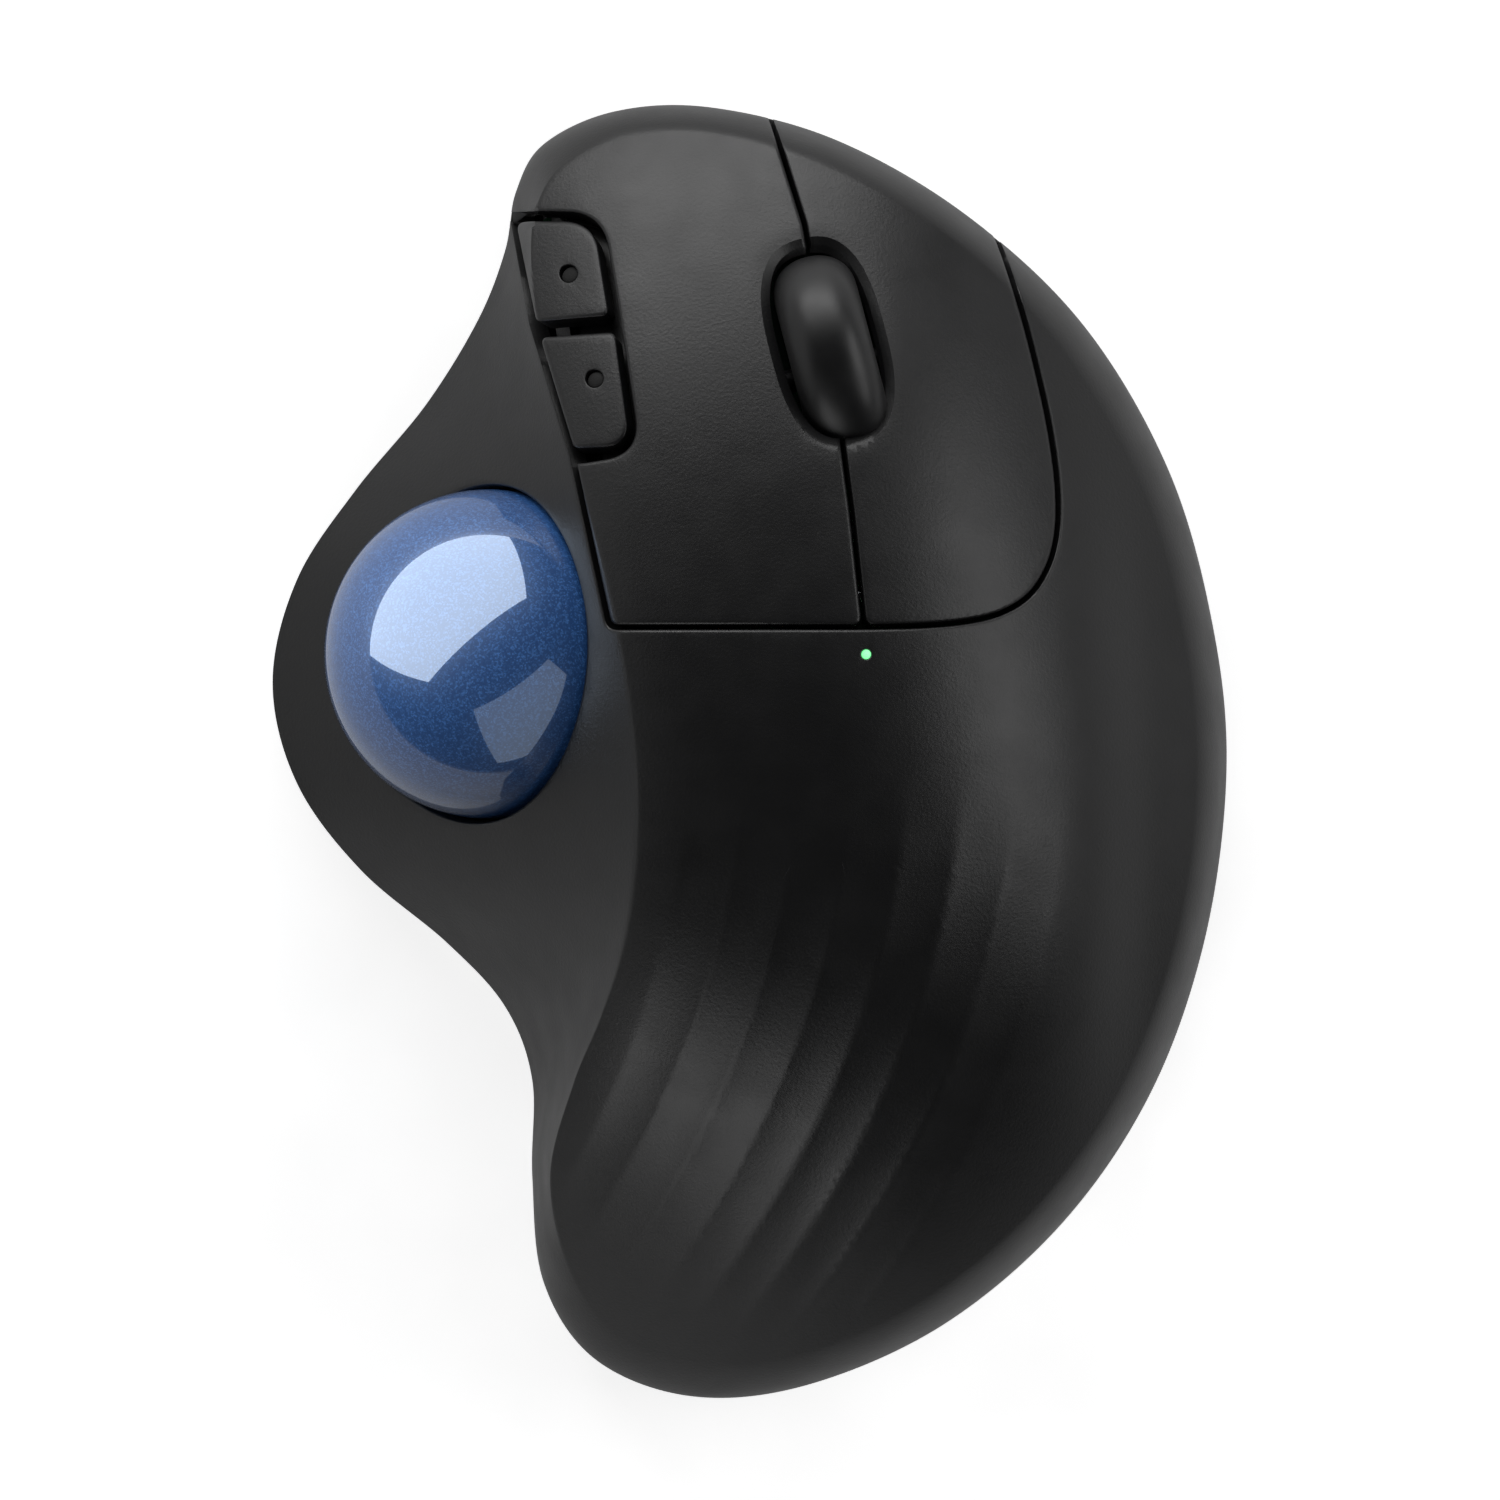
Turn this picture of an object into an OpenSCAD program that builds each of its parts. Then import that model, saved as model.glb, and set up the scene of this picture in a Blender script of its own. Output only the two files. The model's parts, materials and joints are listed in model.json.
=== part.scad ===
// Wireless thumb trackball mouse. +Z up, +Y towards the fingers, +X right, millimetres.
// The origin is the centre of the footprint on the desk.

/* [Body] */
// Overall length, front to back
body_l = 134; // [120:1:150]
// Height of the crown above the desk
crown_h = 48; // [42:0.5:54]
// How far the crown falls to the front edge
front_fall = 27.5; // [20:0.5:34]
// How far the crown falls to the rear edge
rear_fall = 34; // [26:0.5:38]
// Wall thickness of the plastic shells
wall = 2; // [1.5:0.1:3]
// Depth of the finger valley along the right side
valley = 1.6; // [0:0.1:2.5]
// Parting line between base and top shell
part_z = 6; // [5:0.5:8]
// Points around the outline
steps = 90; // [60:30:180]

/* [Ball] */
// Ball diameter
ball_d = 34; // [30:0.5:38]
// Ball centre from the middle of the footprint, left is negative
ball_x = -26.9; // [-30:0.1:-24]
// Ball centre towards the front
ball_y = 10.1; // [6:0.1:14]
// Ball centre height
ball_z = 24.5; // [22:0.1:28]
// Tilt of the ball opening towards the thumb
ball_tilt = 47; // [35:1:60]
// Running gap between ball and opening
ball_gap = 0.4; // [0.2:0.05:1]
// Diameter of the push-out hole under the ball
eject_d = 12; // [8:0.5:16]

/* [Keys] */
// Gap between neighbouring keys
key_gap = 0.6; // [0.4:0.05:1]
// Height of the key hinge pin
pin_z = 33.8; // [32:0.1:36]
// Distance of the key hinge pin from the middle
pin_y = 16; // [14:0.5:18]
// Travel of the side keys
side_travel = 0.5; // [0.2:0.1:0.8]

/* [Wheel] */
// Wheel centre, right of the middle
wheel_x = 8.74; // [4:0.02:12]
// Wheel centre, in front of the middle
wheel_y = 39.34; // [36:0.02:44]
// Wheel centre height
wheel_z = 29.4; // [27:0.1:31]
// Wheel diameter
wheel_d = 24; // [20:0.5:26]
// Wheel width
wheel_w = 9; // [7:0.1:10]
// Turn of the wheel to the left
wheel_turn = 14.5; // [0:0.5:20]

/* [Underside] */
// Width of the battery door
door_w = 54; // [53:1:56]
// Length of the battery door
door_l = 33; // [30:1:34]
// Height of the rubber feet below the base
foot_h = 0.8; // [0.5:0.1:1.2]

/* [Electronics] */
// Top of the main board
pcb_z = 12.6; // [10:0.1:14]
// Battery diameter
cell_d = 14.5; // [14:0.1:15]
// Battery length over the pip
cell_l = 50.5; // [50:0.1:51]

/* [Hidden] */

$fn = 48;
charcoal = "#2b2c2e";
dark = "#1a1a1c";
steel = "#b9bcc0";
green = "#1f5a3a";

k = body_l / 134;
mid = [8, -5];
// outline x, y, seam x, y, and how sharp the crease is there
ring = [
    [49.4, -2, 46, -2.2, 0], [48, 13, 44.6, 12.2, 0], [43.4, 29.2, 40.4, 27.2, 0],
    [34.6, 44.2, 32, 41.6, 0], [22.5, 55.6, 21, 52.6, 0], [9, 63.4, 8.2, 60, 0],
    [-4, 66.8, -3.6, 63.6, 0], [-14, 66.4, -12.8, 63.4, 0], [-21.4, 63, -19.2, 60.6, 0.3],
    [-24.3, 58, -22, 56.4, 0.8], [-25.4, 52, -22.6, 51, 1], [-28.2, 44.8, -21.8, 43.6, 1],
    [-33.6, 36, -19.6, 35, 1], [-41, 27, -17, 26, 1], [-47, 17.8, -14.6, 17, 1],
    [-49.5, 7.2, -12.6, 7, 1], [-47, -3.2, -11.6, -3.4, 1], [-40.4, -12.2, -11.9, -12.6, 1],
    [-31.4, -19.8, -13.1, -20.4, 1], [-25.4, -26.4, -15.4, -27.4, 1],
    [-22.6, -34, -18.2, -34.2, 1], [-22.6, -44, -20.6, -43.6, 0.75],
    [-21.4, -55, -18.8, -53, 0.25], [-16, -63, -14, -59.8, 0], [-6, -66.8, -5.2, -63, 0],
    [6, -65.6, 5.4, -62, 0], [20, -59.4, 18.2, -56.2, 0], [32.4, -48.8, 29.8, -46.4, 0],
    [41.6, -35.2, 38.6, -33.6, 0], [47.2, -19.2, 44, -18.2, 0]
];
n_ring = len(ring);

function lerp(a, b, t) = a + (b - a) * t;
function clip(v, lo, hi) = min(max(v, lo), hi);
function spin_pick(i) = ring[(i % n_ring + n_ring) % n_ring];
function smooth4(a, b, c, d, f) =
    0.5 * (2 * b + (c - a) * f + (2 * a - 5 * b + 4 * c - d) * f * f + (3 * b - a - 3 * c + d) * f * f * f);
function station(t) =
    let (i = floor(t), f = t - i)
    smooth4(spin_pick(i - 1), spin_pick(i), spin_pick(i + 1), spin_pick(i + 2), f);

// height of the top face over any point of the footprint
function crown(x, y) =
    let (
        along = y > -6 ? front_fall * pow((y + 6) / 72, 2) : rear_fall * pow(-(y + 6) / 61, 2.2),
        cx = 6 - 5 * clip(y, 0, 60) / 60,
        across = 0.0064 * pow(abs(x - cx), 2.22),
        vx = 41.5 - 0.0022 * pow(y + 3, 2),
        dip = valley * exp(-pow((x - vx) / 4.6, 2)) * exp(-pow((y + 4) / 30, 4))
    )
    crown_h - along - across - dip;

function toward(p, q, d) = p + (q - p) * (d / norm(q - p));
function inset(p, a, b, d) =
    let (t = b - a, m = [-t[1], t[0]] / norm(t))
    p + m * d;

stations = [for (i = [0:steps - 1]) station(i * n_ring / steps)];
function edge(i) = let (s = stations[(i + steps) % steps]) [s[0], s[1]] * k;
function seam(i) = let (s = stations[(i + steps) % steps]) [s[2], s[3]] * k;
function outline(d) = [for (i = [0:steps - 1]) inset(edge(i), edge(i - 1), edge(i + 1), d)];

// one ray of the sculpted surface, from the middle to the foot of the wall
function ray(i, d, low) =
    let (
        o = inset(edge(i), edge(i - 1), edge(i + 1), d),
        s = toward(seam(i), mid, d * 0.9),
        c = clip(stations[i][4], 0, 1),
        sz = crown(s[0], s[1]) - d,
        w = norm(o - s),
        u = (o - s) / w,
        slope = (sz + d - crown(s[0] + u[0] * 0.2, s[1] + u[1] * 0.2)) / 0.2,
        rz = 9,
        h = sz - rz,
        kk = 1.45 - 0.45 * w / 37,
        drop = min(slope * w, h * 0.8),
        f1 = lerp(0.55, 1 / 3, c),
        q1 = lerp(sz - drop * 0.55, sz - kk * h / 3, c),
        f2 = lerp(1, 0.92, c),
        q2 = lerp(sz - drop - 0.35 * (h - drop), rz + 0.07 * h, c)
    )
    concat(
        [for (r = [0.12, 0.25, 0.38, 0.5, 0.62, 0.73, 0.83, 0.92, 1])
            let (p = mid + (s - mid) * r) [p[0], p[1], crown(p[0], p[1]) - d]],
        [for (v = [1:6])
            let (
                t = v / 6,
                b1 = 3 * t * pow(1 - t, 2),
                b2 = 3 * t * t * (1 - t),
                b3 = pow(t, 3),
                p = s + (o - s) * (b1 * f1 + b2 * f2 + b3)
            )
            [p[0], p[1], pow(1 - t, 3) * sz + b1 * q1 + b2 * q2 + b3 * rz]],
        [[o[0], o[1], low]]
    );

module sculpt(d, low) {
    rays = [for (i = [0:steps - 1]) ray(i, d, low)];
    m = len(rays[0]);
    pts = concat([[mid[0], mid[1], crown(mid[0], mid[1]) - d]], [for (r = rays) each r]);
    caps = [for (i = [0:steps - 1]) [0, 1 + ((i + 1) % steps) * m, 1 + i * m]];
    sides = [for (i = [0:steps - 1], j = [0:m - 2]) each
        let (a = 1 + i * m + j, b = 1 + ((i + 1) % steps) * m + j)
        [[a, b, b + 1], [a, b + 1, a + 1]]];
    floor_face = [[for (i = [0:steps - 1]) 1 + i * m + m - 1]];
    polyhedron(points = pts, faces = concat(caps, sides, floor_face), convexity = 8);
}

module skin(low) {
    difference() {
        sculpt(0, low);
        sculpt(wall, low - 1);
    }
}

// ---- plan regions of the keys ----
module keys_plan() {
    polygon([[-40, 56], [-24.6, 55.4], [-22.5, 44.2], [-18.3, 30.7], [-14.4, 12.8],
        [11.6, 12.8], [21.6, 13.2], [25.6, 14], [28.8, 16], [30.7, 19.2], [31.5, 22.7],
        [31.5, 27.5], [30.5, 34.2], [29.2, 40.7], [27.6, 47], [25.5, 53.3], [30, 75], [-40, 75]]);
}

module left_half() {
    polygon([[-50, 80], [-50, 0], [12.4, 0], [11.6, 13], [9.8, 31.6], [8, 42], [6, 53], [2.2, 65.5], [-2, 80]]);
}

module side_plan() {
    polygon([[-30, 55.4], [-19.3, 55.4], [-16.6, 54], [-15.4, 52], [-13.6, 44], [-12, 35.4],
        [-12.4, 32.6], [-15, 30.6], [-19, 30.2], [-30, 30.2]]);
}

module forward_plan() {
    polygon([[-24.1, 54.3], [-19.6, 54.3], [-17.3, 53.2], [-16.2, 51.6], [-14.3, 44.8], [-22, 44.2]]);
}

module back_plan() {
    polygon([[-21.6, 42.7], [-13.9, 43.2], [-12.7, 35.4], [-13.1, 33.2], [-15.3, 31.6], [-18.2, 31.4]]);
}

module slot_plan() {
    translate([wheel_x, wheel_y])
        rotate(wheel_turn)
            translate([0, 2.95])
            for (s = [-1, 1])
                hull() {
                    translate([0, s * 5]) circle(r = 5.1, $fn = 24);
                    circle(r = 5.1, $fn = 24);
                }
}

module tall(z0, z1) {
    translate([0, 0, z0]) linear_extrude(height = z1 - z0) children();
}

module in_wheel() {
    translate([wheel_x, wheel_y, wheel_z]) rotate([0, 0, wheel_turn]) children();
}

module in_ball() {
    translate([ball_x, ball_y, ball_z]) rotate([0, -ball_tilt, 0]) children();
}

// ---- outside ----
module top_shell() {
    color(charcoal)
        resize([0, 0, 0])
            union() {
                difference() {
                    skin(part_z);
                    tall(part_z - 2, 60) offset(delta = key_gap / 2) keys_plan();
                    in_ball() cylinder(r = ball_d / 2 + ball_gap, h = 30, $fn = 72);
                    in_ball() sphere(r = ball_d / 2 + 0.5, $fn = 72);
                    in_ball() translate([0, 0, -6.9]) rotate([180, 0, 0]) cup_room();
                    translate([11.9, 10, 30]) cylinder(r = 0.9, h = 30, $fn = 24);
                }
                intersection() {
                    sculpt(0.5, part_z);
                    difference() {
                        for (x = [-9.5, 9.3, 27.5])
                            translate([x - 1, 8.5, pin_z - 1.8]) cube([2, 9.3, x > 20 ? 3.1 : 4.5]);
                        translate([-20, pin_y, pin_z]) rotate([0, 90, 0]) cylinder(r = 0.74, h = 60, $fn = 24);
                    }
                }
                intersection() {
                    sculpt(0.5, part_z);
                    for (x = [-9.5, 9.3, 27.5])
                        translate([x - 1, 8.5, pin_z - 1.8]) cube([2, 3.3, 20]);
                }
            }
}

module cup_room() {
    rotate_extrude($fn = 72)
        intersection() {
            translate([0, -6.9]) circle(r = 19.85, $fn = 96);
            square([25, 18]);
        }
}

// ring of air round the tyre
module wheel_room() {
    in_wheel() rotate([0, 90, 0]) rotate_extrude($fn = 60) wheel_profile(wheel_d / 2 + 0.75, wheel_w + 1.4, 5);
}

module key_lug(x) {
    intersection() {
        sculpt(0.5, 10);
        difference() {
            translate([x - 1, pin_y - 1.6, pin_z - 1.6]) cube([2, 3.2, 20]);
            translate([x - 2, pin_y, pin_z]) rotate([0, 90, 0]) cylinder(r = 0.82, h = 4, $fn = 24);
        }
    }
}

module key_post(x, y, z0) {
    intersection() {
        sculpt(0.5, 10);
        translate([x, y, z0]) cylinder(r = 1.8, h = 40, $fn = 16);
    }
}

module left_button() {
    color(charcoal)
        resize([0, 0, 0])
            union() {
                difference() {
                    intersection() {
                        skin(9);
                        tall(5, 60) offset(delta = -key_gap / 2) intersection() { keys_plan(); left_half(); }
                    }
                    tall(5, 60) side_plan();
                    tall(5, 60) slot_plan();
                    wheel_room();
                }
                key_lug(-6);
                key_lug(7);
                key_post(-7, 52, pcb_z + 7.42);
            }
}

module right_button() {
    color(charcoal)
        resize([0, 0, 0])
            union() {
                difference() {
                    intersection() {
                        skin(9);
                        tall(5, 60) offset(delta = -key_gap / 2) difference() { keys_plan(); left_half(); }
                    }
                    tall(5, 60) slot_plan();
                    wheel_room();
                }
                key_lug(14.5);
                key_lug(24);
                key_post(24.5, 38, pcb_z + 7.42);
            }
}

module side_key(x, y) {
    intersection() {
        skin(9);
        tall(5, 60) children();
    }
    intersection() {
        sculpt(0.5, 10);
        translate([x, y, pcb_z + 4.22]) cylinder(r = 1.5, h = 30, $fn = 16);
    }
}

module forward_button() {
    color(charcoal) resize([0, 0, 0]) side_key(-18.2, 49.6) forward_plan();
}

module back_button() {
    color(charcoal) resize([0, 0, 0]) side_key(-16.6, 38) back_plan();
}

// ---- wheel ----
module wheel_profile(r, w, bore = 8) {
    polygon([[bore, -w / 2], [r - 2.6, -w / 2], [r - 1.2, -w / 2 + 0.9], [r - 0.4, -w / 2 + 2.2],
        [r, -w / 2 + w / 2], [r - 0.4, w / 2 - 2.2], [r - 1.2, w / 2 - 0.9], [r - 2.6, w / 2], [bore, w / 2]]);
}

module wheel_tyre() {
    color(dark) in_wheel() rotate([0, 90, 0]) rotate_extrude($fn = 72) wheel_profile(wheel_d / 2, wheel_w);
}

module wheel_hub() {
    color("#3a3b3d")
        in_wheel()
            rotate([0, 90, 0])
                difference() {
                    union() {
                        cylinder(r = 8, h = wheel_w - 0.6, center = true);
                        cylinder(r = 1.2, h = 16.4, center = true);
                    }
                    for (s = [-1, 1])
                        translate([0, 0, s * (wheel_w / 2 + 0.2)])
                            difference() {
                                cylinder(r = 7, h = 3.4, center = true);
                                cylinder(r = 3, h = 4, center = true);
                            }
                }
}

module wheel_carrier() {
    color("#8a8c8f")
        in_wheel()
            difference() {
                union() {
                    for (s = [-1, 1])
                        translate([s * 6.2 - 0.8, 0, 0])
                            rotate([90, 0, 90])
                                linear_extrude(height = 1.6)
                                    polygon([[-18.5, -4], [5, -4], [5, -2], [2.6, 0.6], [1.2, 1.9], [-3, 2.2],
                                        [-6, 3.5], [-18.5, 3.5]]);
                    translate([-7, -18.5, -4]) cube([14, 4, 2.6]);
                    translate([6.2, 1.5, -8.4]) cube([4, 3.5, 4.4]);
                    translate([5.4, 1.5, -8.4]) cube([1.6, 3.5, 5]);
                    translate([-8.2, -3.2, -4]) cube([1.4, 6.4, 5.9]);
                }
                translate([0, 0, 0]) rotate([0, 90, 0]) cylinder(r = 1.26, h = 30, center = true);
                translate([0, -16.5, 0.5]) rotate([0, 90, 0]) cylinder(r = 1.05, h = 30, center = true);
            }
}

module carrier_pin() {
    color(steel) in_wheel() translate([0, -16.5, 0.5]) rotate([0, 90, 0]) cylinder(r = 1, h = 22, center = true);
}

module wheel_stand() {
    color("#55575a")
        in_wheel()
            for (s = [-1, 1])
                translate([s * 9 - 1, -18.5, pcb_z - wheel_z])
                    difference() {
                        cube([2, 4, wheel_z - pcb_z + 2.5]);
                        translate([-1, 2, wheel_z - pcb_z + 0.5]) rotate([0, 90, 0]) cylinder(r = 0.98, h = 4);
                    }
}

module encoder() {
    color("#2f4f7a")
        in_wheel()
            difference() {
                translate([-12.2, -4.5, -6]) cube([4, 9, 9]);
                translate([-9.4, 0, 0]) rotate([0, 90, 0]) cylinder(r = 2, h = 2.4, center = true);
            }
}

// ---- ball ----
module trackball() {
    color("#21406f")
        translate([ball_x, ball_y, ball_z])
            difference() {
                sphere(r = ball_d / 2, $fn = 96);
                sphere(r = 10.05, $fn = 48);
            }
}

module ball_core() {
    color("#6f88ad") translate([ball_x, ball_y, ball_z]) sphere(r = 10, $fn = 48);
}

function seat(az, pol) = [sin(pol) * cos(az), sin(pol) * sin(az), -cos(pol)];

module ball_cup() {
    color("#3b3d40")
        difference() {
            in_ball()
                rotate_extrude($fn = 96)
                    difference() {
                        intersection() {
                            circle(r = 19.7, $fn = 96);
                            translate([0, -25]) square([25, 17]);
                        }
                        circle(r = ball_d / 2 + 0.9, $fn = 96);
                    }
            translate([ball_x, ball_y, -1]) cylinder(r = eject_d / 2, h = 14);
            in_ball() translate([0, 0, -21]) cylinder(r = 3.4, h = 5);
            in_ball()
                for (a = [0, 120, 240])
                    translate(seat(a, 55) * 18.2) sphere(r = 1.24, $fn = 24);
        }
}

module bearings() {
    color("#e8e4da")
        in_ball()
            for (a = [0, 120, 240])
                translate(seat(a, 55) * (ball_d / 2 + 1.22)) sphere(r = 1.2, $fn = 24);
}

module ball_sensor() {
    color(dark) in_ball() translate([-4, -5, -22.6]) cube([8, 10, 2.6]);
}

module sensor_board() {
    color(green) in_ball() translate([-6, -8, -23.8]) cube([12, 16, 1.2]);
}

module sensor_flex() {
    color("#b8702a")
        rotate([90, 0, 0])
            translate([0, 0, -13])
                linear_extrude(height = 6)
                    polygon([[-8.85, 8.95], [-8.6, 8.55], [-5, 6.6], [-3.2, 6.9], [-2.2, 8.6], [-1.2, 10.95],
                        [-1.8, 10.95], [-2.6, 9], [-3.6, 7.4], [-5, 7.2], [-8.4, 9.3]]);
}

// ---- boards ----
module main_board() {
    color(green)
        translate([0, 0, pcb_z - 1.6])
            linear_extrude(height = 1.6)
                difference() {
                    polygon([[-2, -6], [36, -6], [36, 22], [31, 38], [22, 50], [2, 60], [-16, 60], [-21.4, 55],
                        [-21.4, 44], [-18, 32.5], [-2, 32.5]]);
                    for (p = board_posts) translate(p) circle(r = 1.5);
                }
}

board_posts = [[32, -2], [2, -2], [30, 33], [-13, 57]];

module radio_chip() {
    color(dark) translate([4, 11.5, pcb_z]) cube([7, 7, 1]);
}

module small_chips() {
    color("#303236") {
        translate([16, 6, pcb_z]) cube([5, 4, 1.1]);
        translate([24, 14, pcb_z]) cube([4, 4, 0.9]);
        translate([7, 24.5, pcb_z]) cube([3, 1.6, 0.8]);
        translate([27, 4, pcb_z]) cube([3.2, 2.5, 1.2]);
    }
}

module led_emitter() {
    color("#d8ffe0") translate([11.9 - 1, 10 - 0.8, pcb_z]) cube([2, 1.6, 0.8]);
}

module light_guide() {
    color("#c8f5d2")
        translate([11.9, 10, 0]) {
            translate([0, 0, pcb_z + 0.85]) cylinder(r = 1.4, h = 40 - pcb_z - 0.85);
            translate([0, 0, 40]) cylinder(r = 0.85, h = 5.9);
        }
}

module click_body() {
    translate([-2.9, -6.4, 0]) cube([5.8, 12.8, 6.5]);
}

module click_switches() {
    color("#202124") {
        translate([-7, 50, pcb_z]) click_body();
        translate([24.5, 36, pcb_z]) click_body();
        translate([wheel_x, wheel_y, pcb_z]) rotate(wheel_turn) translate([9, 2.4, 0]) click_body();
    }
}

module switch_plungers() {
    color("#e9e2c8") {
        translate([-7, 52, pcb_z + 6.5]) cylinder(r = 0.9, h = 0.4);
        translate([24.5, 38, pcb_z + 6.5]) cylinder(r = 0.9, h = 0.4);
        translate([wheel_x, wheel_y, pcb_z + 6.5]) rotate(wheel_turn) translate([8.5, 3.2, 0]) cylinder(r = 0.9, h = 1.2);
        for (p = [[-18.2, 49.6], [-16.6, 38]])
            translate([p[0], p[1], pcb_z + 3.2]) cylinder(r = 1.4, h = 0.4);
    }
}

module side_switches() {
    color("#3a3b3d")
        for (p = [[-18.2, 49.6], [-16.6, 38]])
            translate([p[0] - 2.6, p[1] - 2.6, pcb_z]) cube([5.2, 5.2, 3.2]);
}

module hinge_pin() {
    color(steel) translate([-11.2, pin_y, pin_z]) rotate([0, 90, 0]) cylinder(r = 0.75, h = 40.4);
}

module standoffs() {
    color("#55575a")
        for (p = board_posts)
            translate([p[0], p[1], wall + foot_h]) {
                cylinder(r = 2.6, h = pcb_z - 1.6 - wall - foot_h);
                cylinder(r = 1.45, h = pcb_z - wall - foot_h + 0.8);
            }
}

// ---- base ----
door_c = [8, -26];
screw_at = [[-14, 49], [37, 26], [39.5, -24], [-14, -51]];
foot_at = [[-6, 57, 4.5], [40, 8, 4], [-41, 8, 4], [-8, -58, 4.5], [24, -47, 4]];
slider_at = [24, 22];
pair_at = [8, 22];

module base_shell() {
    color(dark)
        difference() {
            union() {
                difference() {
                    union() {
                        translate([0, 0, foot_h]) linear_extrude(height = 1) polygon(outline(1));
                        translate([0, 0, foot_h + 1]) linear_extrude(height = part_z - foot_h - 1.03) polygon(outline(0));
                    }
                    translate([0, 0, foot_h + wall]) linear_extrude(height = 10) polygon(outline(wall + 0.4));
                }
                translate([0, 0, part_z - 1])
                    linear_extrude(height = 3.2)
                        intersection() {
                            difference() {
                                polygon(outline(0));
                                polygon(outline(wall + 0.4));
                            }
                            keys_plan();
                        }
                for (p = screw_at)
                    translate([p[0], p[1], foot_h]) cylinder(r = 3.4, h = part_z - foot_h - 0.1);
                translate([door_c[0] - 28, door_c[1] + 16.9, foot_h + wall]) cube([56.4, 1.4, 3]);
                translate([door_c[0] - 28, door_c[1] - 18.1, foot_h + wall]) cube([53.4, 1.2, 3]);
                translate([door_c[0] - 28, door_c[1] - 17.5, foot_h + wall]) cube([1.05, 35, 3]);
                translate([door_c[0] + 27.2, door_c[1] - 17.5, foot_h + wall]) cube([1.2, 35, 3]);
            }
            translate([door_c[0] - door_w / 2 + 1.6, door_c[1] - door_l / 2, 0]) cube([door_w - 2.2, door_l, 4]);
            translate([door_c[0] - door_w / 2, door_c[1] - door_l / 2, 0]) cube([door_w, door_l, foot_h + 1.2]);
            translate([ball_x, ball_y, 0]) cylinder(r = eject_d / 2, h = 8);
            for (f = foot_at) translate([f[0], f[1], 0]) cylinder(r = f[2] + 0.05, h = foot_h + 0.5);
            for (p = screw_at) {
                translate([p[0], p[1], 0]) cylinder(r = 2.6, h = foot_h + 1.6);
                translate([p[0], p[1], 0]) cylinder(r = 1.05, h = 10);
            }
            translate([slider_at[0] - 5, slider_at[1] - 2.2, 0]) cube([10, 4.4, 4]);
            translate([pair_at[0], pair_at[1], 0]) cylinder(r = 2.6, h = 4);
            translate([-12, -2, 0]) cube([28, 13, foot_h + 0.3]);
        }
}

module battery_door() {
    color(charcoal)
        difference() {
            union() {
                translate([door_c[0] - door_w / 2 + 0.25, door_c[1] - door_l / 2 + 0.25, foot_h])
                    cube([door_w - 0.5, door_l - 0.5, 1.1]);
                translate([door_c[0] - door_w / 2 + 1.9, door_c[1] - door_l / 2 + 0.3, foot_h + 1.1])
                    cube([door_w - 2.8, door_l - 0.6, 0.8]);
            }
            for (i = [0:3])
                translate([door_c[0] - 7, door_c[1] + door_l / 2 - 4 - i * 1.6, 0]) cube([14, 0.8, foot_h + 0.4]);
        }
}

module battery_cell() {
    color("#c9a13b")
        translate([door_c[0] - cell_l / 2 + 0.4, door_c[1] + 8.2, 3.2 + cell_d / 2])
            rotate([0, 90, 0]) {
                cylinder(r = cell_d / 2, h = cell_l - 1.2);
                cylinder(r = 2.75, h = cell_l);
            }
}

module contact_plus() {
    color(steel)
        translate([door_c[0] + cell_l / 2 + 0.42, door_c[1] + 3.2, 3.4]) cube([0.5, 10, 11.5]);
}

module contact_spring() {
    color(steel)
        translate([door_c[0] - cell_l / 2 - 1.5, door_c[1] + 8.2, 3.2 + cell_d / 2])
            rotate([0, 90, 0]) {
                for (i = [0:3])
                    translate([0, 0, 0.25 + i * 0.43])
                        rotate_extrude() translate([4.4 - i * 0.7, 0]) circle(r = 0.32);
                translate([-5, -5, -0.1]) cube([10, 10, 0.35]);
            }
}

module battery_wires() {
    color("#a02020")
        for (y = [0, 2])
            translate([20 + y, door_c[1] + 18, 9.6])
                rotate([-90, 0, 0]) cylinder(r = 0.6, h = 11, $fn = 16);
}

module receiver_shell() {
    color(dark) translate([door_c[0] - 4, door_c[1] - 15, 3.4]) cube([7, 14.6, 6]);
}

module receiver_plug() {
    color(steel)
        difference() {
            translate([door_c[0] + 3, door_c[1] - 13.8, 3.9]) cube([12, 12.2, 4.6]);
            translate([door_c[0] + 8, door_c[1] - 13.4, 4.3]) cube([8, 11.4, 2]);
        }
}

module power_slider() {
    color("#d9dadb")
        translate([slider_at[0] - 4.6, slider_at[1] - 2, foot_h + 0.3]) {
            cube([5.4, 4, 1.9]);
            translate([0, 0, 1.9]) translate([1.7, 1, 0]) cube([2, 2, 2.6]);
        }
}

module power_switch() {
    color(steel)
        translate([slider_at[0] - 5.2, slider_at[1] - 2.6, 5])
            difference() {
                cube([10.4, 5.2, 6]);
                translate([1.6, 1.2, -1]) cube([6.6, 2.8, 4]);
            }
}

module pairing_button() {
    color("#d9dadb")
        translate([pair_at[0], pair_at[1], foot_h + 0.3]) {
            cylinder(r = 2.5, h = 2.6);
            translate([0, 0, 2.6]) cylinder(r = 1.2, h = 3.6);
        }
}

module pairing_switch() {
    color("#3a3b3d")
        translate([pair_at[0] - 2.6, pair_at[1] - 2.6, 7.6]) cube([5.2, 5.2, 3.4]);
}

module rubber_feet() {
    color("#0f0f10") for (f = foot_at) translate([f[0], f[1], 0]) cylinder(r = f[2], h = foot_h + 0.5);
}

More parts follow.
